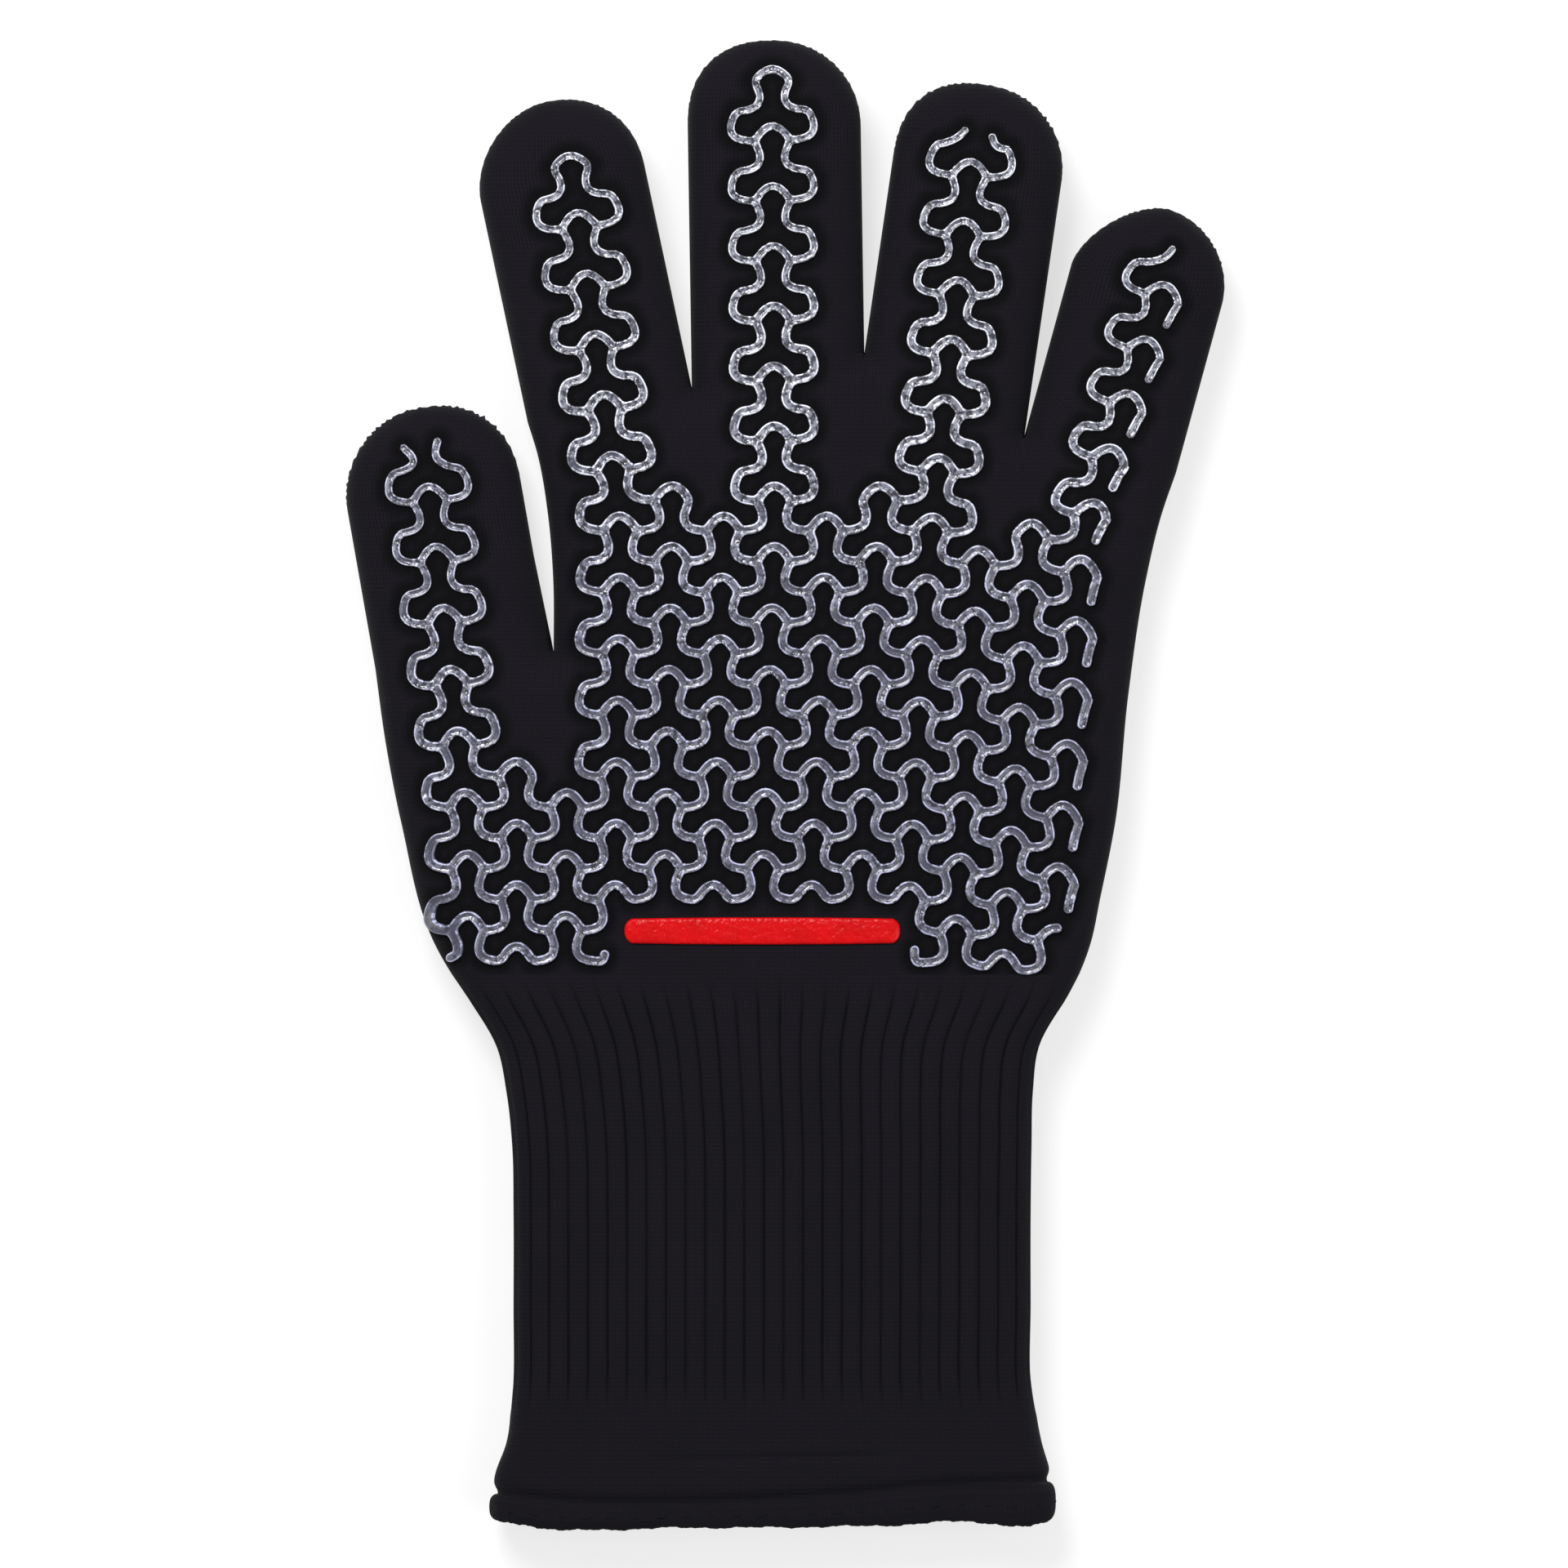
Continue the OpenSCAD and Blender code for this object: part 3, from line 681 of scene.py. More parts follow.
# how much its upper edge, its lower edge and its thickness waver
UPPER_WAVER, LOWER_WAVER, WALL_WAVER = 0.25, 0.35, 0.15
# the way round its profile in the pattern
TAPE_ROUND = 14.0
# the lower edge of the binding, at the same shares of the width as its upper one
HEM_LINE = eased([0, 0.06, 0.35, 0.6, 0.75, 0.84, 0.93, 1.0],
                 [-163.0, -164.3, -164.6, -164.4, -163.9, -163.1, -164.4, -163.4])

binding_knit = knit_material("binding_knit", YARN_DARK, YARN_LIGHT,
                             wale=0.95, course=1.25, bump=0.5, roughness=0.8)


def hem_ring(columns):
    """The ring of the sleeve along the middle of the binding, with its outward normals and half the binding's
    height. The normals come from two more rings, half a millimetre above and below."""
    share = closer_at_edges(columns, 0.4)
    levels = (FOLD_LINE(share) + HEM_LINE(share)) / 2 + np.array([-0.5, 0.0, 0.5])[:, None]
    rings = tube_rings(left_edge(levels) + (right_edge(levels) - left_edge(levels)) * share, levels)
    half = (FOLD_LINE(share) - HEM_LINE(share)) / 2
    return rings[1], outward(rings)[1], np.concatenate([half, half[-2:0:-1]])


def wavering(turn):
    """An uneven line round the hem: four waves of whole numbers of turns, between about -1 and 1."""
    angle = 2 * np.pi * turn
    slow = 0.4 * np.sin(5 * angle + 1) + 0.3 * np.sin(13 * angle)
    return slow + 0.2 * np.sin(29 * angle + 2) + 0.15 * np.sin(61 * angle)


ring_middle, ring_normal, ring_half = hem_ring(BINDING_COLUMNS)
around = len(ring_middle)
turn = np.arange(around) / around
profile = 2 * np.pi * np.arange(BINDING_POINTS) / BINDING_POINTS
# a squarish loop: along the sleeve by the sine and through its wall by the cosine
up = np.sign(np.sin(profile)) * np.abs(np.sin(profile)) ** BINDING_UP_POWER
out = np.sign(np.cos(profile)) * np.abs(np.cos(profile)) ** BINDING_OUT_POWER
slow_waver, quick_waver = [wavering(turn * times)[:, None] for times in (1, 3)]
height = ring_half[:, None] + np.where(up > 0, UPPER_WAVER * slow_waver, LOWER_WAVER * quick_waver)
thick = BINDING_HALF_WALL + WALL_WAVER * quick_waver
band = ring_middle[:, None] + ring_normal[:, None] * (out * thick - BINDING_INSET)[..., None]
band[..., 1] += up * height
band_faces = tube_faces(around + 1, BINDING_POINTS)
band_index = band_faces[..., 0] % around * BINDING_POINTS + band_faces[..., 1] % BINDING_POINTS
run = round_places(ring_middle[None])
band_uv = np.stack([run[band_faces[..., 0]], band_faces[..., 1] * (TAPE_ROUND / BINDING_POINTS)], -1)
binding = new_piece("binding_tape", band.reshape(-1, 3), band_index.tolist(), band_uv.reshape(-1, 2),
                    binding_knit)
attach(binding, "cuff")
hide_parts("hem_binding")


# Hem stitches
# A row of running stitches in black thread, through the binding and both gloves.
# Each stitch is a short rounded bar that dips into the tape at its two ends.

STITCH_COUNT = 48
STITCH_LENGTH, STITCH_RADIUS = 3.2, 0.33
# how far out from the tape's face a stitch's middle line lies, and how far its two ends dip in
STITCH_PROUD, STITCH_DIP = -0.1, 0.9
STITCH_STEPS, STITCH_SIDES, SIDE_WIDTH = 9, 6, 0.4
STITCH_RING_COLUMNS = 480
THREAD_DARK, THREAD_LIGHT = (0.0015, 0.0015, 0.002), (0.0055, 0.005, 0.0062)

black_thread, shade = blank_material("black_thread")
place = shade.add("UVMap", {"uv_map": "pattern"})
twist = shade.add("TexWave", {"bands_direction": "DIAGONAL"},
                  {"Vector": place, "Scale": 900.0, "Distortion": 0.5})
relief = shade.add("Bump", {}, {"Strength": 0.5, "Distance": 0.1 * MM, "Height": twist})
surface(shade, Base_Color=mixed(shade, twist, THREAD_DARK, THREAD_LIGHT), Roughness=0.7,
        Specular_IOR_Level=0.1, Normal=relief)

stitch_ring, stitch_normal, _ = hem_ring(STITCH_RING_COLUMNS)
stitch_at = (np.arange(STITCH_COUNT) + 0.5) / STITCH_COUNT
steps = np.linspace(-1, 1, STITCH_STEPS)
ring_run = round_places(stitch_ring[None])
place_run = (stitch_at[:, None] * ring_run[-1] + steps * STITCH_LENGTH / 2) % ring_run[-1]
looped = [np.concatenate([a, a[:1]]) for a in (stitch_ring, stitch_normal)]
path, path_normal = [np.stack([np.interp(place_run, ring_run, column) for column in a.T], -1)
                     for a in looped]
sink = STITCH_PROUD + BINDING_HALF_WALL - BINDING_INSET - STITCH_DIP * np.abs(steps) ** 4
path = path + path_normal * np.broadcast_to(sink, place_run.shape)[..., None]
round_angle = 2 * np.pi * np.arange(STITCH_SIDES) / STITCH_SIDES
radius = STITCH_RADIUS * np.sqrt(np.maximum(1 - steps**6, 0.05))
upright = np.array([0.0, 1.0, 0.0])
bars = path[:, :, None] + radius[:, None, None] * (
    np.cos(round_angle)[:, None] * path_normal[:, :, None] + np.sin(round_angle)[:, None] * upright)
bar_faces = tube_faces(STITCH_STEPS, STITCH_SIDES)
bar_index = bar_faces[..., 0] * STITCH_SIDES + bar_faces[..., 1] % STITCH_SIDES
firsts = np.arange(STITCH_COUNT)[:, None, None] * STITCH_STEPS * STITCH_SIDES
quads = (bar_index[:, ::-1] + firsts).reshape(-1, 4)
cap = np.arange(STITCH_SIDES)
caps = np.concatenate([cap + firsts[:, 0], cap[::-1] + firsts[:, 0] + (STITCH_STEPS - 1) * STITCH_SIDES])
step_length = STITCH_LENGTH / (STITCH_STEPS - 1)
bar_uv = np.stack([bar_faces[..., 0] * step_length, bar_faces[..., 1] * SIDE_WIDTH], -1)[:, ::-1]
uv = np.concatenate([np.tile(bar_uv.reshape(-1, 2), (STITCH_COUNT, 1)), np.zeros((caps.size, 2))])
stitches = new_piece("hem_thread", bars.reshape(-1, 3), quads.tolist() + caps.tolist(), uv, black_thread)
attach(stitches, "cuff")
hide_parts("hem_stitches")


# Silicone grip
# A net of three-armed cells of grey silicone, printed on both faces of the knit and cured in place.
# Each bead has a shallow middle, a raised edge on both sides and small webs where three beads meet.

# half a bead's width on the palm, and on the fingers above the levels where it narrows
BEAD_HALF, SLIM_HALF = 1.04, 0.86
SLIM_FROM, SLIM_TO = -6.0, 14.0
# the rounding between two beads of a crossing, and that of a place where only two meet
WEB_RADIUS, TURN_RADIUS = 1.25, 2.4
# half the angle between two beads below which the gap gets a web, and the least that it counts as
NARROW_GAP, LEAST_LEAN = np.pi / 2 - 0.05, 0.3
# the share of the way to its bend that a bead is curved for
BEAD_EASE = 0.8
# how far inside the outline the beads' middle lines stay
EDGE_MARGIN = 2.3
# how deep the beads dip between lumps, the share of it low on the palm, and the level and the height
# over which it grows to the whole
LUMP_DIP, LUMP_LEAST = 0.3, 0.35
LUMP_FROM, LUMP_RISE = 10.0, 70.0
# how much further on in the pattern each bead starts than the one before it
PATTERN_STEP = 13.0
# the net's start, the height of a row below and above it, and the width of a column with its lean and fan
GRIP_START = np.array([-1.85, 56.1]) + PHOTO_MIDDLE
ROWS_BELOW, ROWS_ABOVE = 13.6, 13.3
COLUMN_PITCH = 11.36
COLUMN_LEAN, COLUMN_FAN = 0.035, 0.0064
# how much rows droop to the right, how much they turn with a finger, and the height over which they turn
ROW_DROOP, ROW_TILT, TILT_RISE = 0.175, 0.7, 20.0
# for each finger's column: its lean for each millimetre, the level where that begins, and its share of a row
FINGER_COLUMN = {-6: (-0.115, -7.3, 0.99), -3: (-0.156, 58, 1.008), 0: (-0.041, 56, 0.998),
                 3: (0.052, 44.6, 0.985), 6: (0.254, 54.5, 0.905)}
# column, first row, last row of the closed cells
CLOSED_CELLS = [(-6, -6, 0), (-5, -6.5, -4.5), (-4, -6, -5), (-3, -5.5, 5.5), (-2, -5, 0), (-1, -5.5, -0.5),
                (0, -5, 7), (1, -5.5, -0.5), (2, -5, 0), (3, -5.5, 5.5), (4, -6, -1), (5, -6.5, -0.5)]
# a cell's six crossings clockwise from its upper right, in columns and rows from its middle,
# and the middle of the cell that the bead from each crossing to the next one bends towards
CROSSINGS = np.array([(2, 3), (4, 0), (2, -3), (-2, -3), (-4, 0), (-2, 3)]) / 6
BENT_TO = np.array([(0, 0), (6, -3), (0, 0), (-6, -3), (0, 0), (0, 6)]) / 6
# how far towards that middle its bend is pulled
BEND_PULL = 0.81
# the last cells of the index and the middle finger, whose top is lower
TOP_CELLS, TOP_PULL = [(-3, 5.5), (0, 7)], 0.62
# open cells: column, row, their beads, and their free ends as crossing, bend and end
HOOK = [(0, (0.27, 0.30), (0.24, 0.08))]
OPEN_CELLS = [(6, row, (3, 4, 5), HOOK) for row in range(-6, 5)] + [
    (-6, 1, (1, 2, 3), [(1, (0.10, 0.13), (0.28, 0.48)), (4, (-0.06, 0.10), (-0.38, 0.41))]),
    (3, 6.5, (1, 2, 3), [(1, (0.43, -0.01), (0.35, 0.18)), (4, (-0.32, 0.08), (-0.17, 0.26))]),
    (6, 5, (3,), [(4, (-0.21, 0.09), (-0.10, 0.37))]),
    (6, -7, (), [(5, (-0.17, 0.72), (0.05, 0.75))]),
    (4, -7, (4,), [(4, (-0.82, 0.00), (-0.83, 0.20))]),
    (-4, -7, (0,), [(1, (0.78, 0.00), (0.81, 0.11))]),
    (-6, -7, (), [(5, (-0.10, 0.16), (-0.36, 0.06))])]
# height over the knit at shares of the half width, from the sunk edge to the middle
BEAD_PROFILE = [(1.0, -0.5), (1.0, 0.32), (0.95, 0.66), (0.84, 0.92), (0.69, 0.98), (0.50, 0.86),
                (0.26, 0.74), (0.0, 0.72)]
TOP_MIDDLE = len(BEAD_PROFILE) - 1
# where the rows lie along a bead's straight end and along its bend
END_SHARES = np.array([0, 0.15, 0.32, 0.52, 0.75, 1.0])
BEND_SHARES = np.linspace(0, 1, 11)[1:-1]


def net_place(column, u, v):
    """A place of the net in plan: rows rise from the start and droop past the second column, and columns lean
    and fan out. A finger's own column leans further above a level, and its rows turn with it."""
    lean, level, share = FINGER_COLUMN.get(column, (0, 0, 1.0))
    rise = v * (ROWS_ABOVE * share if v > 0 else ROWS_BELOW)
    x = GRIP_START[0] + COLUMN_LEAN * rise + u * (COLUMN_PITCH + COLUMN_FAN * rise)
    y = GRIP_START[1] + rise - ROW_DROOP * max(0, u - 2) ** 2
    past = max(0, y - level)
    tilt = ROW_TILT * lean * min(past / TILT_RISE, 1)
    return np.array([x + lean * past, y - tilt * (u - column) * COLUMN_PITCH])


def cell_beads(column, row, numbers, ends=()):
    """A cell's beads, each as a crossing, the point it bends towards and the next crossing or free end."""
    centre = np.array([column, row])
    found = []
    for k in numbers:
        a, b = CROSSINGS[k], CROSSINGS[(k + 1) % 6]
        chord = (a + b) / 2
        pull = TOP_PULL if k == 5 and (column, row) in TOP_CELLS else BEND_PULL
        found.append((column, centre + [a, chord + pull * (BENT_TO[k] - chord), b]))
    return found + [(column, centre + [CROSSINGS[k], bend, end]) for k, bend, end in ends]


beads = []
for column, first, last in CLOSED_CELLS:
    for row in np.arange(first, last + 0.5):
        beads += cell_beads(column, row, range(6))
for cell in OPEN_CELLS:
    beads += cell_beads(*cell)

# points that cells share, to a 600th of a column and a row, get one place: the mean of what columns give
corner_key = {}
corner_sum = []
bead_keys = set()
for column, stops in beads:
    keys = []
    for u, v in stops:
        key = corner_key.setdefault((round(u * 600), round(v * 600)), len(corner_key))
        if key == len(corner_sum):
            corner_sum.append([])
        corner_sum[key].append(net_place(column, u, v))
        keys.append(key)
    bead_keys.add(tuple(keys) if keys[0] < keys[2] else tuple(keys[::-1]))
corners = np.array([np.mean(places, 0) for places in corner_sum])
bead_keys = np.array(sorted(bead_keys))


def kept_inside(points, margin):
    """Places moved up the slope of the depth until they lie a margin inside the outline."""
    step = 0.2
    for _ in range(4):
        x, y = points[:, 0], points[:, 1]
        here = depth(x, y)
        slope_x = depth(x + step, y) - depth(x - step, y)
        slope = np.stack([slope_x, depth(x, y + step) - depth(x, y - step)], -1)
        slope /= np.maximum(np.linalg.norm(slope, axis=-1, keepdims=True), 1e-6)
        points = points + slope * np.maximum(margin - here, 0)[:, None]
    return points


corners = kept_inside(corners, EDGE_MARGIN)
corner_half = np.full(len(corners), BEAD_HALF)
for f in fingers:
    out, up = f.local(corners[:, 0], corners[:, 1])
    slimming = np.clip((up - SLIM_FROM) / (SLIM_TO - SLIM_FROM), 0, 1) * (np.abs(out) < f.half)
    corner_half = np.minimum(corner_half, BEAD_HALF + (SLIM_HALF - BEAD_HALF) * slimming)


def unit(v):
    """Vectors of length one."""
    return v / np.linalg.norm(v, axis=-1, keepdims=True)


def gaps_at_ends(ends, bends):
    """Half the angle from each bead end to the next bead at its crossing, to its left and to its right."""
    angle = np.arctan2(*(corners[bends] - corners[ends]).T[::-1])
    order = np.lexsort((angle, ends))
    left, right = np.empty(len(ends)), np.empty(len(ends))
    for crossing in np.split(order, np.flatnonzero(np.diff(ends[order])) + 1):
        step = (np.roll(angle[crossing], -1) - angle[crossing]) % (2 * np.pi)
        step[step < 1e-6] = 2 * np.pi
        left[crossing], right[crossing] = step / 2, np.roll(step, 1) / 2
    return left, right


def edge_line(gap, turning, straight, half):
    """One edge of a bead near its end, as distances along the bead and out from its axis.
    A narrow gap to the next bead is filled by a web's arc, and a free end is rounded.
    Where only two beads meet, both edges follow one turn, with a smaller arc inside it and a larger one
    outside."""
    narrow = gap < NARROW_GAP
    lean = np.clip(np.where(narrow, gap, np.pi - gap), LEAST_LEAN, None)
    turn = np.where(turning, np.minimum(TURN_RADIUS, straight * np.abs(np.tan(lean))), half + WEB_RADIUS)
    tangent = turn / np.tan(lean)
    inside, outside = turn - half, turn + half
    to_centre = turn / np.sin(lean)
    reach = np.where(narrow, to_centre - inside, np.where(turning, outside - to_centre, half))
    corner = (reach * np.cos(gap))[:, None]
    d = corner + (straight[:, None] - corner) * END_SHARES
    short = np.maximum(tangent[:, None] - d, 0) ** 2
    narrow, turning, turn, inside, outside, half = [
        a[:, None] for a in (narrow, turning, turn, inside, outside, half)]
    web = turn - np.sqrt(np.maximum(inside**2 - short, 0)) * np.sign(inside)
    bow = np.sqrt(np.maximum(outside**2 - short, 0)) - turn
    cap = np.sqrt(np.maximum(half**2 - np.minimum(d, 0) ** 2, 0))
    return d, np.where(narrow, web, np.where(turning, bow, cap))


across_share = np.array([p[0] for p in BEAD_PROFILE])
height_share = np.array([p[1] for p in BEAD_PROFILE])
# once round the bead: over the top from left to right, and back along its sunk underside
ring_share = np.concatenate([across_share, -across_share[-2::-1], [0.0]])
ring_height = np.concatenate([height_share, height_share[-2::-1], height_share[:1]])


def end_rows(ends, bends, gaps):
    """Rows of a bead from its end to where it starts to bend: each point lies by its share between the bead's
    middle and one edge. The first row is folded along the lines to its neighbours."""
    ahead = unit(corners[bends] - corners[ends])
    leftward = np.stack([-ahead[:, 1], ahead[:, 0]], -1)
    straight = np.linalg.norm(corners[bends] - corners[ends], axis=-1) * (1 - BEAD_EASE)
    # where only two beads meet, the two half gaps add up to half a turn
    turning = np.abs(gaps[0] + gaps[1] - np.pi) < 0.02
    left_d, left_out = edge_line(gaps[0], turning, straight, corner_half[ends])
    right_d, right_out = edge_line(gaps[1], turning, straight, corner_half[ends])
    middle_d = np.where(turning[:, None], (left_d + right_d) / 2, straight[:, None] * END_SHARES)
    middle_out = np.where(turning[:, None], (left_out - right_out) / 2, 0)
    to_left, to_right = np.maximum(ring_share, 0), np.maximum(-ring_share, 0)
    to_middle = 1 - to_left - to_right
    d, out = [mid[..., None] * to_middle + left[..., None] * to_left + right[..., None] * to_right
              for mid, left, right in ((middle_d, left_d, right_d), (middle_out, left_out, -right_out))]
    place = corners[ends][:, None, None] + ahead[:, None, None] * d[..., None]
    return place + leftward[:, None, None] * out[..., None]


def bend_rows(keys):
    """Rows round a bead's bend: half the width to each side of a quadratic curve."""
    a, b, c = [corners[keys[:, i]] for i in range(3)]
    first, last = b + (a - b) * BEAD_EASE, b + (c - b) * BEAD_EASE
    t = BEND_SHARES[:, None]
    a, b, c = first[:, None], b[:, None], last[:, None]
    centre = a * (1 - t) ** 2 + b * 2 * t * (1 - t) + c * t**2
    ahead = unit((b - a) * (1 - t) + (c - b) * t)
    leftward = np.stack([-ahead[..., 1], ahead[..., 0]], -1)
    half = corner_half[keys[:, :1]] * (1 - BEND_SHARES) + corner_half[keys[:, 2:]] * BEND_SHARES
    return centre[:, :, None] + leftward[:, :, None] * (half[..., None] * ring_share)[..., None]


def on_knit(plan, height, face, sign):
    """Places over the knit: the height is measured along the normal of the face below."""
    x, y = plan[..., 0], plan[..., 1]
    step = 0.3
    slope_x = (face(x + step, y) - face(x - step, y)) / (2 * step)
    slope_y = (face(x, y + step) - face(x, y - step)) / (2 * step)
    normal = unit(np.stack([-slope_x, -slope_y, np.ones_like(x)], -1)) * sign
    return np.stack([x, y, face(x, y)], -1) + normal * height[..., None]


def lumpy_height(plan):
    """Height round a bead's rows, lower between its lumps by crossed waves, and the more so towards the
    fingers."""
    x, y = plan[..., 0], plan[..., 1]
    waves = np.sin(2.9 * x + 1.3 * y) * np.sin(2.3 * y - 1.7 * x + 1) + 0.5 * np.sin(4.7 * x - 3.1 * y + 2)
    share = LUMP_LEAST + (1 - LUMP_LEAST) * np.clip((y - LUMP_FROM) / LUMP_RISE, 0, 1)
    dip = LUMP_DIP * share * (waves + 1.5) / 3
    return np.where(ring_height > 0, ring_height * (1 - dip), ring_height)


def bead_mesh(keys, cut, faces_used):
    """Beads as one mesh: rows of rings along each bead, with the points that neighbours share merged, and
    caps at cut ends."""
    ends = np.concatenate([keys[:, 0], keys[:, 2]])
    bends = np.concatenate([keys[:, 1]] * 2)
    n = len(keys)
    near = end_rows(ends, bends, [gap[cut["rows"]] for gap in gaps_by_end])
    swap = np.concatenate([np.arange(2 * len(across_share) - 1)[::-1], [len(ring_share) - 1]])
    plan = np.concatenate([near[:n], bend_rows(keys), near[n:][:, ::-1][:, :, swap]], 1)
    rows, around = plan.shape[1:3]
    grid = tube_faces(rows, around)
    index_of = grid[..., 0] * around + grid[..., 1] % around
    quads = (index_of[None] + (np.arange(n) * rows * around)[:, None, None]).reshape(-1, 4)
    steps = np.linalg.norm(np.diff(plan[:, :, TOP_MIDDLE], axis=1), axis=-1)
    run = np.concatenate([np.zeros((n, 1)), np.cumsum(steps, 1)], 1)
    run = run + PATTERN_STEP * np.arange(n)[:, None]
    across = np.concatenate([ring_share, [1.0]]) * BEAD_HALF
    across = np.broadcast_to(across[grid[..., 1]], (n, *grid.shape[:2]))
    uv = np.stack([across, run[:, grid[..., 0]]], -1).reshape(-1, 4, 2)
    start_caps = np.flatnonzero(cut["ends"][:n])
    stop_caps = np.flatnonzero(cut["ends"][n:])
    ring = np.arange(around)
    caps = np.concatenate([start_caps[:, None] * rows * around + ring,
                           (stop_caps[:, None] * rows + rows - 1) * around + ring[::-1]])
    points, polygons, places = [], [], []
    for face, sign in faces_used:
        spots = on_knit(plan, lumpy_height(plan), face, sign).reshape(-1, 3)
        _, first, same = np.unique(np.round(spots, 3), axis=0, return_index=True, return_inverse=True)
        same = same.ravel()
        shift = sum(len(p) for p in points)
        turned = slice(None, None, int(sign))
        whole = same[quads][:, turned] + shift
        crossed = (whole[:, 0] == whole[:, 2]) | (whole[:, 1] == whole[:, 3])
        solid = (whole != np.roll(whole, 1, 1)).all(1) & ~crossed
        corner_uv = uv[:, turned]
        folded = ~solid
        triples = [list(dict.fromkeys(face_corners)) for face_corners in whole[folded].tolist()]
        kept = [i for i, t in enumerate(triples) if len(t) == 3]
        polygons += whole[solid].tolist() + [triples[i] for i in kept]
        places += [corner_uv[solid].reshape(-1, 2), corner_uv[folded][kept][:, :3].reshape(-1, 2)]
        cap_faces = [list(dict.fromkeys(c)) for c in (same[caps][:, turned] + shift).tolist()]
        polygons += cap_faces
        places.append(np.zeros((sum(len(c) for c in cap_faces), 2)))
        points.append(spots[first])
    return np.concatenate(points), polygons, np.concatenate(places)


all_ends = np.concatenate([bead_keys[:, 0], bead_keys[:, 2]])
gaps_by_end = gaps_at_ends(all_ends, np.concatenate([bead_keys[:, 1]] * 2))

# every bead belongs to the length of finger that its middle lies on, or to the palm
owner = np.full(len(bead_keys), -1)
lengths = [(f, k) for f in fingers for k in range(len(f.parts))]
bend_place = 0.2 * corners[bead_keys[:, 0]] + 0.6 * corners[bead_keys[:, 1]] + 0.2 * corners[bead_keys[:, 2]]
for number, (f, k) in enumerate(lengths):
    out, up = f.local(bend_place[:, 0], bend_place[:, 1])
    limits = [ROOT_START] + finger_splits(f) + [f.length]
    owner[(np.abs(out) < f.half) & (up > limits[k]) & (up <= limits[k + 1])] = number


def owned(number):
    """The beads of one owner, with the ends where they meet another owner's beads."""
    mine = np.flatnonzero(owner == number)
    rows = np.concatenate([mine, mine + len(owner)])
    twice = np.concatenate([owner, owner])
    shared = np.array([(twice[all_ends == all_ends[r]] != number).any() for r in rows])
    return bead_keys[mine], {"rows": rows, "ends": shared}


# painted shade lies fully on yarn this near to a bead's middle line, and from this far on there is none
PRINT_SHADE_NEAR, PRINT_SHADE_FAR = 2.2, 4.0
# points worked on at a time
PRINT_SHADE_BATCH = 2000
bend_lines = bend_rows(bead_keys)[:, :, TOP_MIDDLE].reshape(-1, 2)
bead_lines = np.concatenate([bend_lines, corners[np.unique(all_ends)]])


def paint_print_shade(piece):
    """Marks the yarn near the print for painted shade: 1 near a bead's middle line, up to the nearer
    distance, and 0 beyond the farther one.
    """
    spots = np.empty(3 * len(piece.data.vertices), np.float32)
    piece.data.vertices.foreach_get("co", spots)
    spots = spots.reshape(-1, 3)[:, :2] / MM
    # the square of a distance is the two squared lengths less twice the product
    squares = [(part**2).sum(1) + ((bead_lines**2).sum(1) - 2 * part @ bead_lines.T).min(1)
               for part in np.array_split(spots, 1 + len(spots) // PRINT_SHADE_BATCH)]
    nearest = np.sqrt(np.maximum(np.concatenate(squares), 0))
    share = np.clip((PRINT_SHADE_FAR - nearest) / (PRINT_SHADE_FAR - PRINT_SHADE_NEAR), 0, 1)
    piece.data.attributes.new("print_shade", "FLOAT", "POINT").data.foreach_set("value", share.astype(np.float32))


# painted shade near the print on every knit that carries it
for piece in printed_knits:
    paint_print_shade(piece)

# levels over which the palm's print gets rougher and its painted highlight brighter, those on the thumb's
# side, and where that side begins
ROUGH_RISE, THUMB_RISE, THUMB_SIDE = (20, 95), (-25, 30), (-50, -62)
THUMB_ROUGH, FINGER_ROUGH = 0.4, 1.0
# the print's middle, and the painted highlight on its raised edges, where it is smooth and where it is rough,
# and the painted shade in its dents
CORE_SMOOTH, CORE_ROUGH = (0.036, 0.036, 0.064), (0.042, 0.044, 0.078)
HIGHLIGHT_SMOOTH, HIGHLIGHT_ROUGH = (0.52, 0.53, 0.74), (0.88, 0.90, 1.0)
DENT_SHADE = (0.014, 0.014, 0.022)
LUMPS_PER_METRE, GRAIN_PER_METRE, PATCHES_PER_METRE = 680, 1700, 140


def towards_fingers(shade):
    """How far a place of the palm has come towards the fingers' roots, or by a smaller share towards the
    thumb's on its side."""
    parts = shade.add("SeparateXYZ", {}, {"Vector": shade.add("TexCoord", {}, {}, "Object")})
    low, high, thumb_low, thumb_high, side_low, side_high = [
        level * MM for level in ROUGH_RISE + THUMB_RISE + THUMB_SIDE]
    at_thumb = risen(shade, parts.other(1), thumb_low, thumb_high) * risen(shade, parts, side_low, side_high)
    return shade.math("MAXIMUM", risen(shade, parts.other(1), low, high), at_thumb * THUMB_ROUGH)


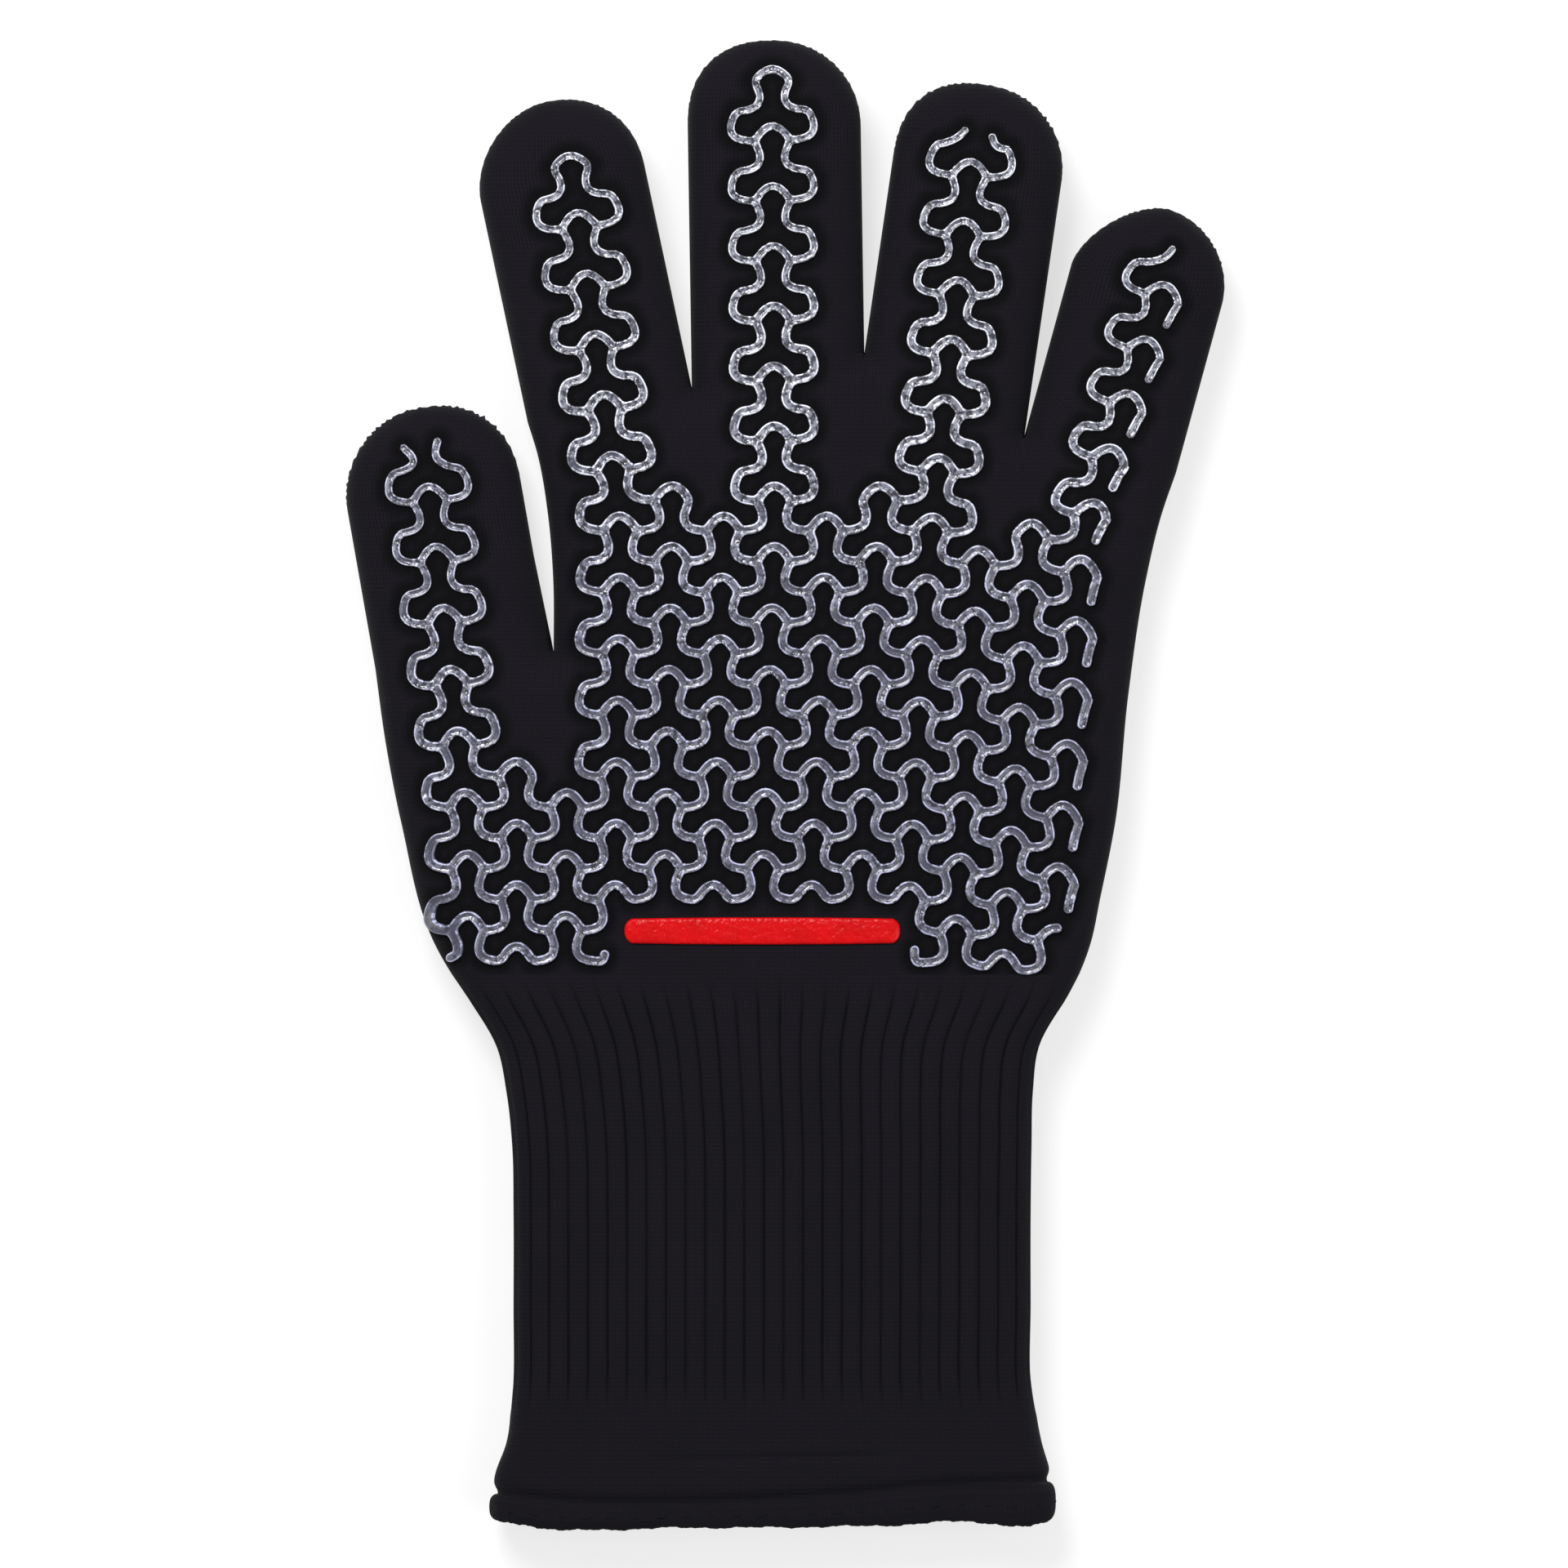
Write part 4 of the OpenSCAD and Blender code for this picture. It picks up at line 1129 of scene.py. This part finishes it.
def silicone_material(name, rough=None):
    """Cured silicone print: grey in its shallow middle, with a painted highlight along both raised edges.
    Where a slow noise is high it set in lumps: a finer noise breaks the painted highlight up, paints small
    glints on the lumps and leaves painted shade in dark dents between. Where it is rough, the painted
    highlight is brighter and there are more lumps. On the palm, where no roughness is given, that grows
    towards the fingers."""
    material, shade = blank_material(name)
    rough = towards_fingers(shade) if rough is None else rough
    place = shade.add("UVMap", {"uv_map": "pattern"})
    across = shade.add("SeparateXYZ", {}, {"Vector": place})
    # painted highlight along both raised edges of a bead
    edge_highlight = risen(shade, shade.math("ABSOLUTE", across) * (1 / (BEAD_HALF * MM)), 0.52, 0.82)
    slow = noise(shade, place, PATCHES_PER_METRE)
    lumpy = risen(shade, slow + rough * 0.16, 0.44, 0.60)
    lumps = noise(shade, place, LUMPS_PER_METRE, 1)
    fine = noise(shade, place, GRAIN_PER_METRE)
    whole = risen(shade, lumps * 0.75 + fine * 0.25, 0.45, 0.55)
    # painted shade in the dents between lumps
    dent_shade = risen(shade, lumps * 0.8 + fine * 0.2, 0.48, 0.40) * lumpy * (1.0 - edge_highlight * 0.3)
    # the painted highlight on the edges, broken up by the lumps, with tone that differs at random
    smooth_tone = edge_highlight * (0.25 + whole * 0.6) + (slow - 0.5) * 0.6 + (fine - 0.4) * 0.25
    lumpy_tone = edge_highlight * (whole * 0.6 + 0.3) + whole * 0.2
    tone = smooth_tone + (lumpy_tone - smooth_tone) * lumpy
    core = mixed(shade, rough, CORE_SMOOTH, CORE_ROUGH)
    # the painted highlight's colour, brighter where the print is rough
    rim = mixed(shade, rough, HIGHLIGHT_SMOOTH, HIGHLIGHT_ROUGH)
    colour = mixed(shade, dent_shade * 0.9, mixed(shade, tone, core, rim), DENT_SHADE)
    height = lumps * (lumpy + 0.3) + fine * 0.3
    relief = shade.add("Bump", {}, {"Strength": 0.8, "Distance": 0.4 * MM, "Height": height})
    surface(shade, Base_Color=colour, Roughness=0.32 - lumpy * 0.14, Specular_IOR_Level=0.9,
            Coat_Weight=0.3, Coat_Roughness=0.1, Normal=relief)
    return material


# the fingers' print is rough all over, so its painted highlight is the brightest
palm_silicone = silicone_material("palm_silicone")
finger_silicone = silicone_material("finger_silicone", FINGER_ROUGH)
thumb_silicone = silicone_material("thumb_silicone", THUMB_ROUGH)
BOTH_FACES = [(top_face, 1.0), (under_face, -1.0)]
for name, used in (("palm_grip", BOTH_FACES[:1]), ("back_grip", BOTH_FACES[1:])):
    piece = new_piece(f"{name}_print", *bead_mesh(*owned(-1), used), palm_silicone)
    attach(piece, "palm")
    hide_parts(name)
for number, (f, k) in enumerate(lengths):
    silicone = thumb_silicone if f is thumb else finger_silicone
    piece = new_piece(f"{f.name}_{f.parts[k]}_print", *bead_mesh(*owned(number), BOTH_FACES), silicone)
    across_hinge(piece, f, k)
    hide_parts(f"{f.name}_{f.parts[k]}_grip")


# Red bar
# A plain bar of glossy red silicone, printed across the heel of the hand below the grip.
# It is domed, with round ends and a slightly uneven top.

BAR_MIDDLE = np.array([-4.6, -32.4]) + PHOTO_MIDDLE
BAR_LENGTH, BAR_WIDTH = 61.0, 6.0
BAR_HEIGHT, BAR_SUNK = 0.95, -0.4
BAR_COLUMNS = 160
# how square its ends are: how soon its spine reaches them, and the power of its rim
SPINE_RISE, RIM_POWER = 2.2, 0.8
# rings from the sunk edge inwards: share of the way out, and height
BAR_RINGS = np.array([(1.0, BAR_SUNK), (1.0, 0.35), (0.97, 0.62), (0.88, 0.84), (0.72, 0.94), (0.5, 0.97),
                      (0.25, 0.98)])
RED_DARK, RED_LIGHT = (0.40, 0.0006, 0.002), (0.66, 0.0012, 0.003)

red_silicone, shade = blank_material("red_silicone")
place = shade.add("UVMap", {"uv_map": "pattern"})
clouds = noise(shade, place, 150, 3)
dents = noise(shade, place, 700, 2)
relief = shade.add("Bump", {}, {"Strength": 0.7, "Distance": 0.5 * MM, "Height": dents})
surface(shade, Base_Color=mixed(shade, clouds, RED_DARK, RED_LIGHT), Roughness=0.18 + dents * 0.2,
        Specular_IOR_Level=0.15, Normal=relief)

angle = 2 * np.pi * np.arange(BAR_COLUMNS) / BAR_COLUMNS
straight = (BAR_LENGTH - BAR_WIDTH) / 2 * np.clip(SPINE_RISE * np.cos(angle), -1, 1)
round_end = BAR_WIDTH / 2 * np.sign(np.sin(angle)) * np.abs(np.sin(angle)) ** RIM_POWER
rim = np.stack([straight + BAR_WIDTH / 2 * np.cos(angle), round_end], -1)
spine = np.stack([straight, np.zeros_like(angle)], -1)
bar_plan = BAR_MIDDLE + spine + (rim - spine) * BAR_RINGS[:, 0][:, None, None]
bar_height = np.broadcast_to(BAR_RINGS[:, 1][:, None] * BAR_HEIGHT, bar_plan.shape[:2])
bar_top = on_knit(bar_plan, bar_height, top_face, 1.0)
ridge = on_knit(BAR_MIDDLE + spine, np.full(len(angle), BAR_HEIGHT), top_face, 1.0)
sunk = on_knit(BAR_MIDDLE + spine, np.full(len(angle), BAR_SUNK), top_face, 1.0)
layers = np.concatenate([sunk[None], bar_top, ridge[None]])
bar_grid = tube_faces(len(layers), len(angle))
bar_index = bar_grid[..., 0] * len(angle) + bar_grid[..., 1] % len(angle)
_, first, same = np.unique(np.round(layers.reshape(-1, 3), 3), axis=0, return_index=True, return_inverse=True)
bar_polygons = [list(dict.fromkeys(face)) for face in same.ravel()[bar_index].tolist()]
bar_polygons = [face for face in bar_polygons if len(face) > 2]
bar_points = layers.reshape(-1, 3)[first]
bar_uv = np.concatenate([bar_points[face][:, :2] for face in bar_polygons])
red_bar = new_piece("red_bar_print", bar_points, bar_polygons, bar_uv, red_silicone)
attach(red_bar, "palm")
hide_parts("red_bar")


# Table, light and camera
# A white table under soft light from above, with a camera that looks straight down on the palm.
# The table looks white to the camera and in reflections, the sky to the camera, and both light it less.

# the width that the camera sees at the level of the glove's middle
FRAME_WIDTH = 347.8
# where the camera stands over the glove, in metres
CAMERA_X, CAMERA_Y = -0.0003, 0.0001
LENS, SENSOR = 300.0, 36.0
# half the table's width in metres, its grey, and the white that it adds where it is seen
TABLE_HALF, TABLE_GREY, TABLE_WHITE = 3.0, 0.3, 0.68
# the sky's light, and how much more of it the camera sees
SKY_LIGHT, SKY_SEEN = 0.46, 0.54

white_table, shade = blank_material("white_table")
rays = shade.add("LightPath")
seen = rays
for name in ("Is Glossy Ray", "Is Transmission Ray"):
    seen = shade.math("MAXIMUM", seen, rays.other(name))
matt = shade.add("BsdfDiffuse", {}, {"Color": (TABLE_GREY, TABLE_GREY, TABLE_GREY, 1)})
glow = shade.add("Emission", {}, {"Color": (1, 1, 1, 1), "Strength": seen * TABLE_WHITE})
shade.add("OutputMaterial", {}, {"Surface": shade.add("AddShader", {}, {0: matt, 1: glow})})
table_top = bpy.data.meshes.new("table")
table_corners = [(-TABLE_HALF, -TABLE_HALF, 0), (TABLE_HALF, -TABLE_HALF, 0), (TABLE_HALF, TABLE_HALF, 0),
                 (-TABLE_HALF, TABLE_HALF, 0)]
table_top.from_pydata(table_corners, [], [(0, 1, 2, 3)])
table_top.materials.append(white_table)
table = bpy.data.objects.new("table", table_top)
bpy.context.scene.collection.objects.link(table)

world = bpy.data.worlds.new("studio")
world.use_nodes = True
world.node_tree.nodes.clear()
sky = Shade(world.node_tree)
rays = sky.add("LightPath")
glow = sky.add("Background", {}, {"Color": (1, 1, 1, 1), "Strength": rays * SKY_SEEN + SKY_LIGHT})
sky.add("OutputWorld", {}, {"Surface": glow})
bpy.context.scene.world = world


def softbox(name, place, aim, size, power):
    """A square lamp at a place in metres, turned towards a point."""
    lamp = bpy.data.lights.new(name, "AREA")
    lamp.size, lamp.energy = size, power
    holder = bpy.data.objects.new(name, lamp)
    holder.location = place
    holder.rotation_euler = Vector(np.array(aim) - place).to_track_quat("-Z", "Y").to_euler()
    bpy.context.scene.collection.objects.link(holder)


softbox("key", np.array([-0.35, 0.75, 1.1]), aim=(0, 0.05, 0), size=0.55, power=17.5)
softbox("fill", np.array([0.9, -0.3, 1.2]), aim=(0, 0, 0), size=0.9, power=6.75)

lens = bpy.data.cameras.new("camera")
lens.lens, lens.sensor_width = LENS, SENSOR
lens.clip_start, lens.clip_end = 0.01, 20.0
camera = bpy.data.objects.new("camera", lens)
camera.location = (CAMERA_X, CAMERA_Y, (MID_Z + FRAME_WIDTH * LENS / SENSOR) * MM)
bpy.context.scene.collection.objects.link(camera)
bpy.context.scene.camera = camera
bpy.context.scene.view_settings.view_transform = "Standard"
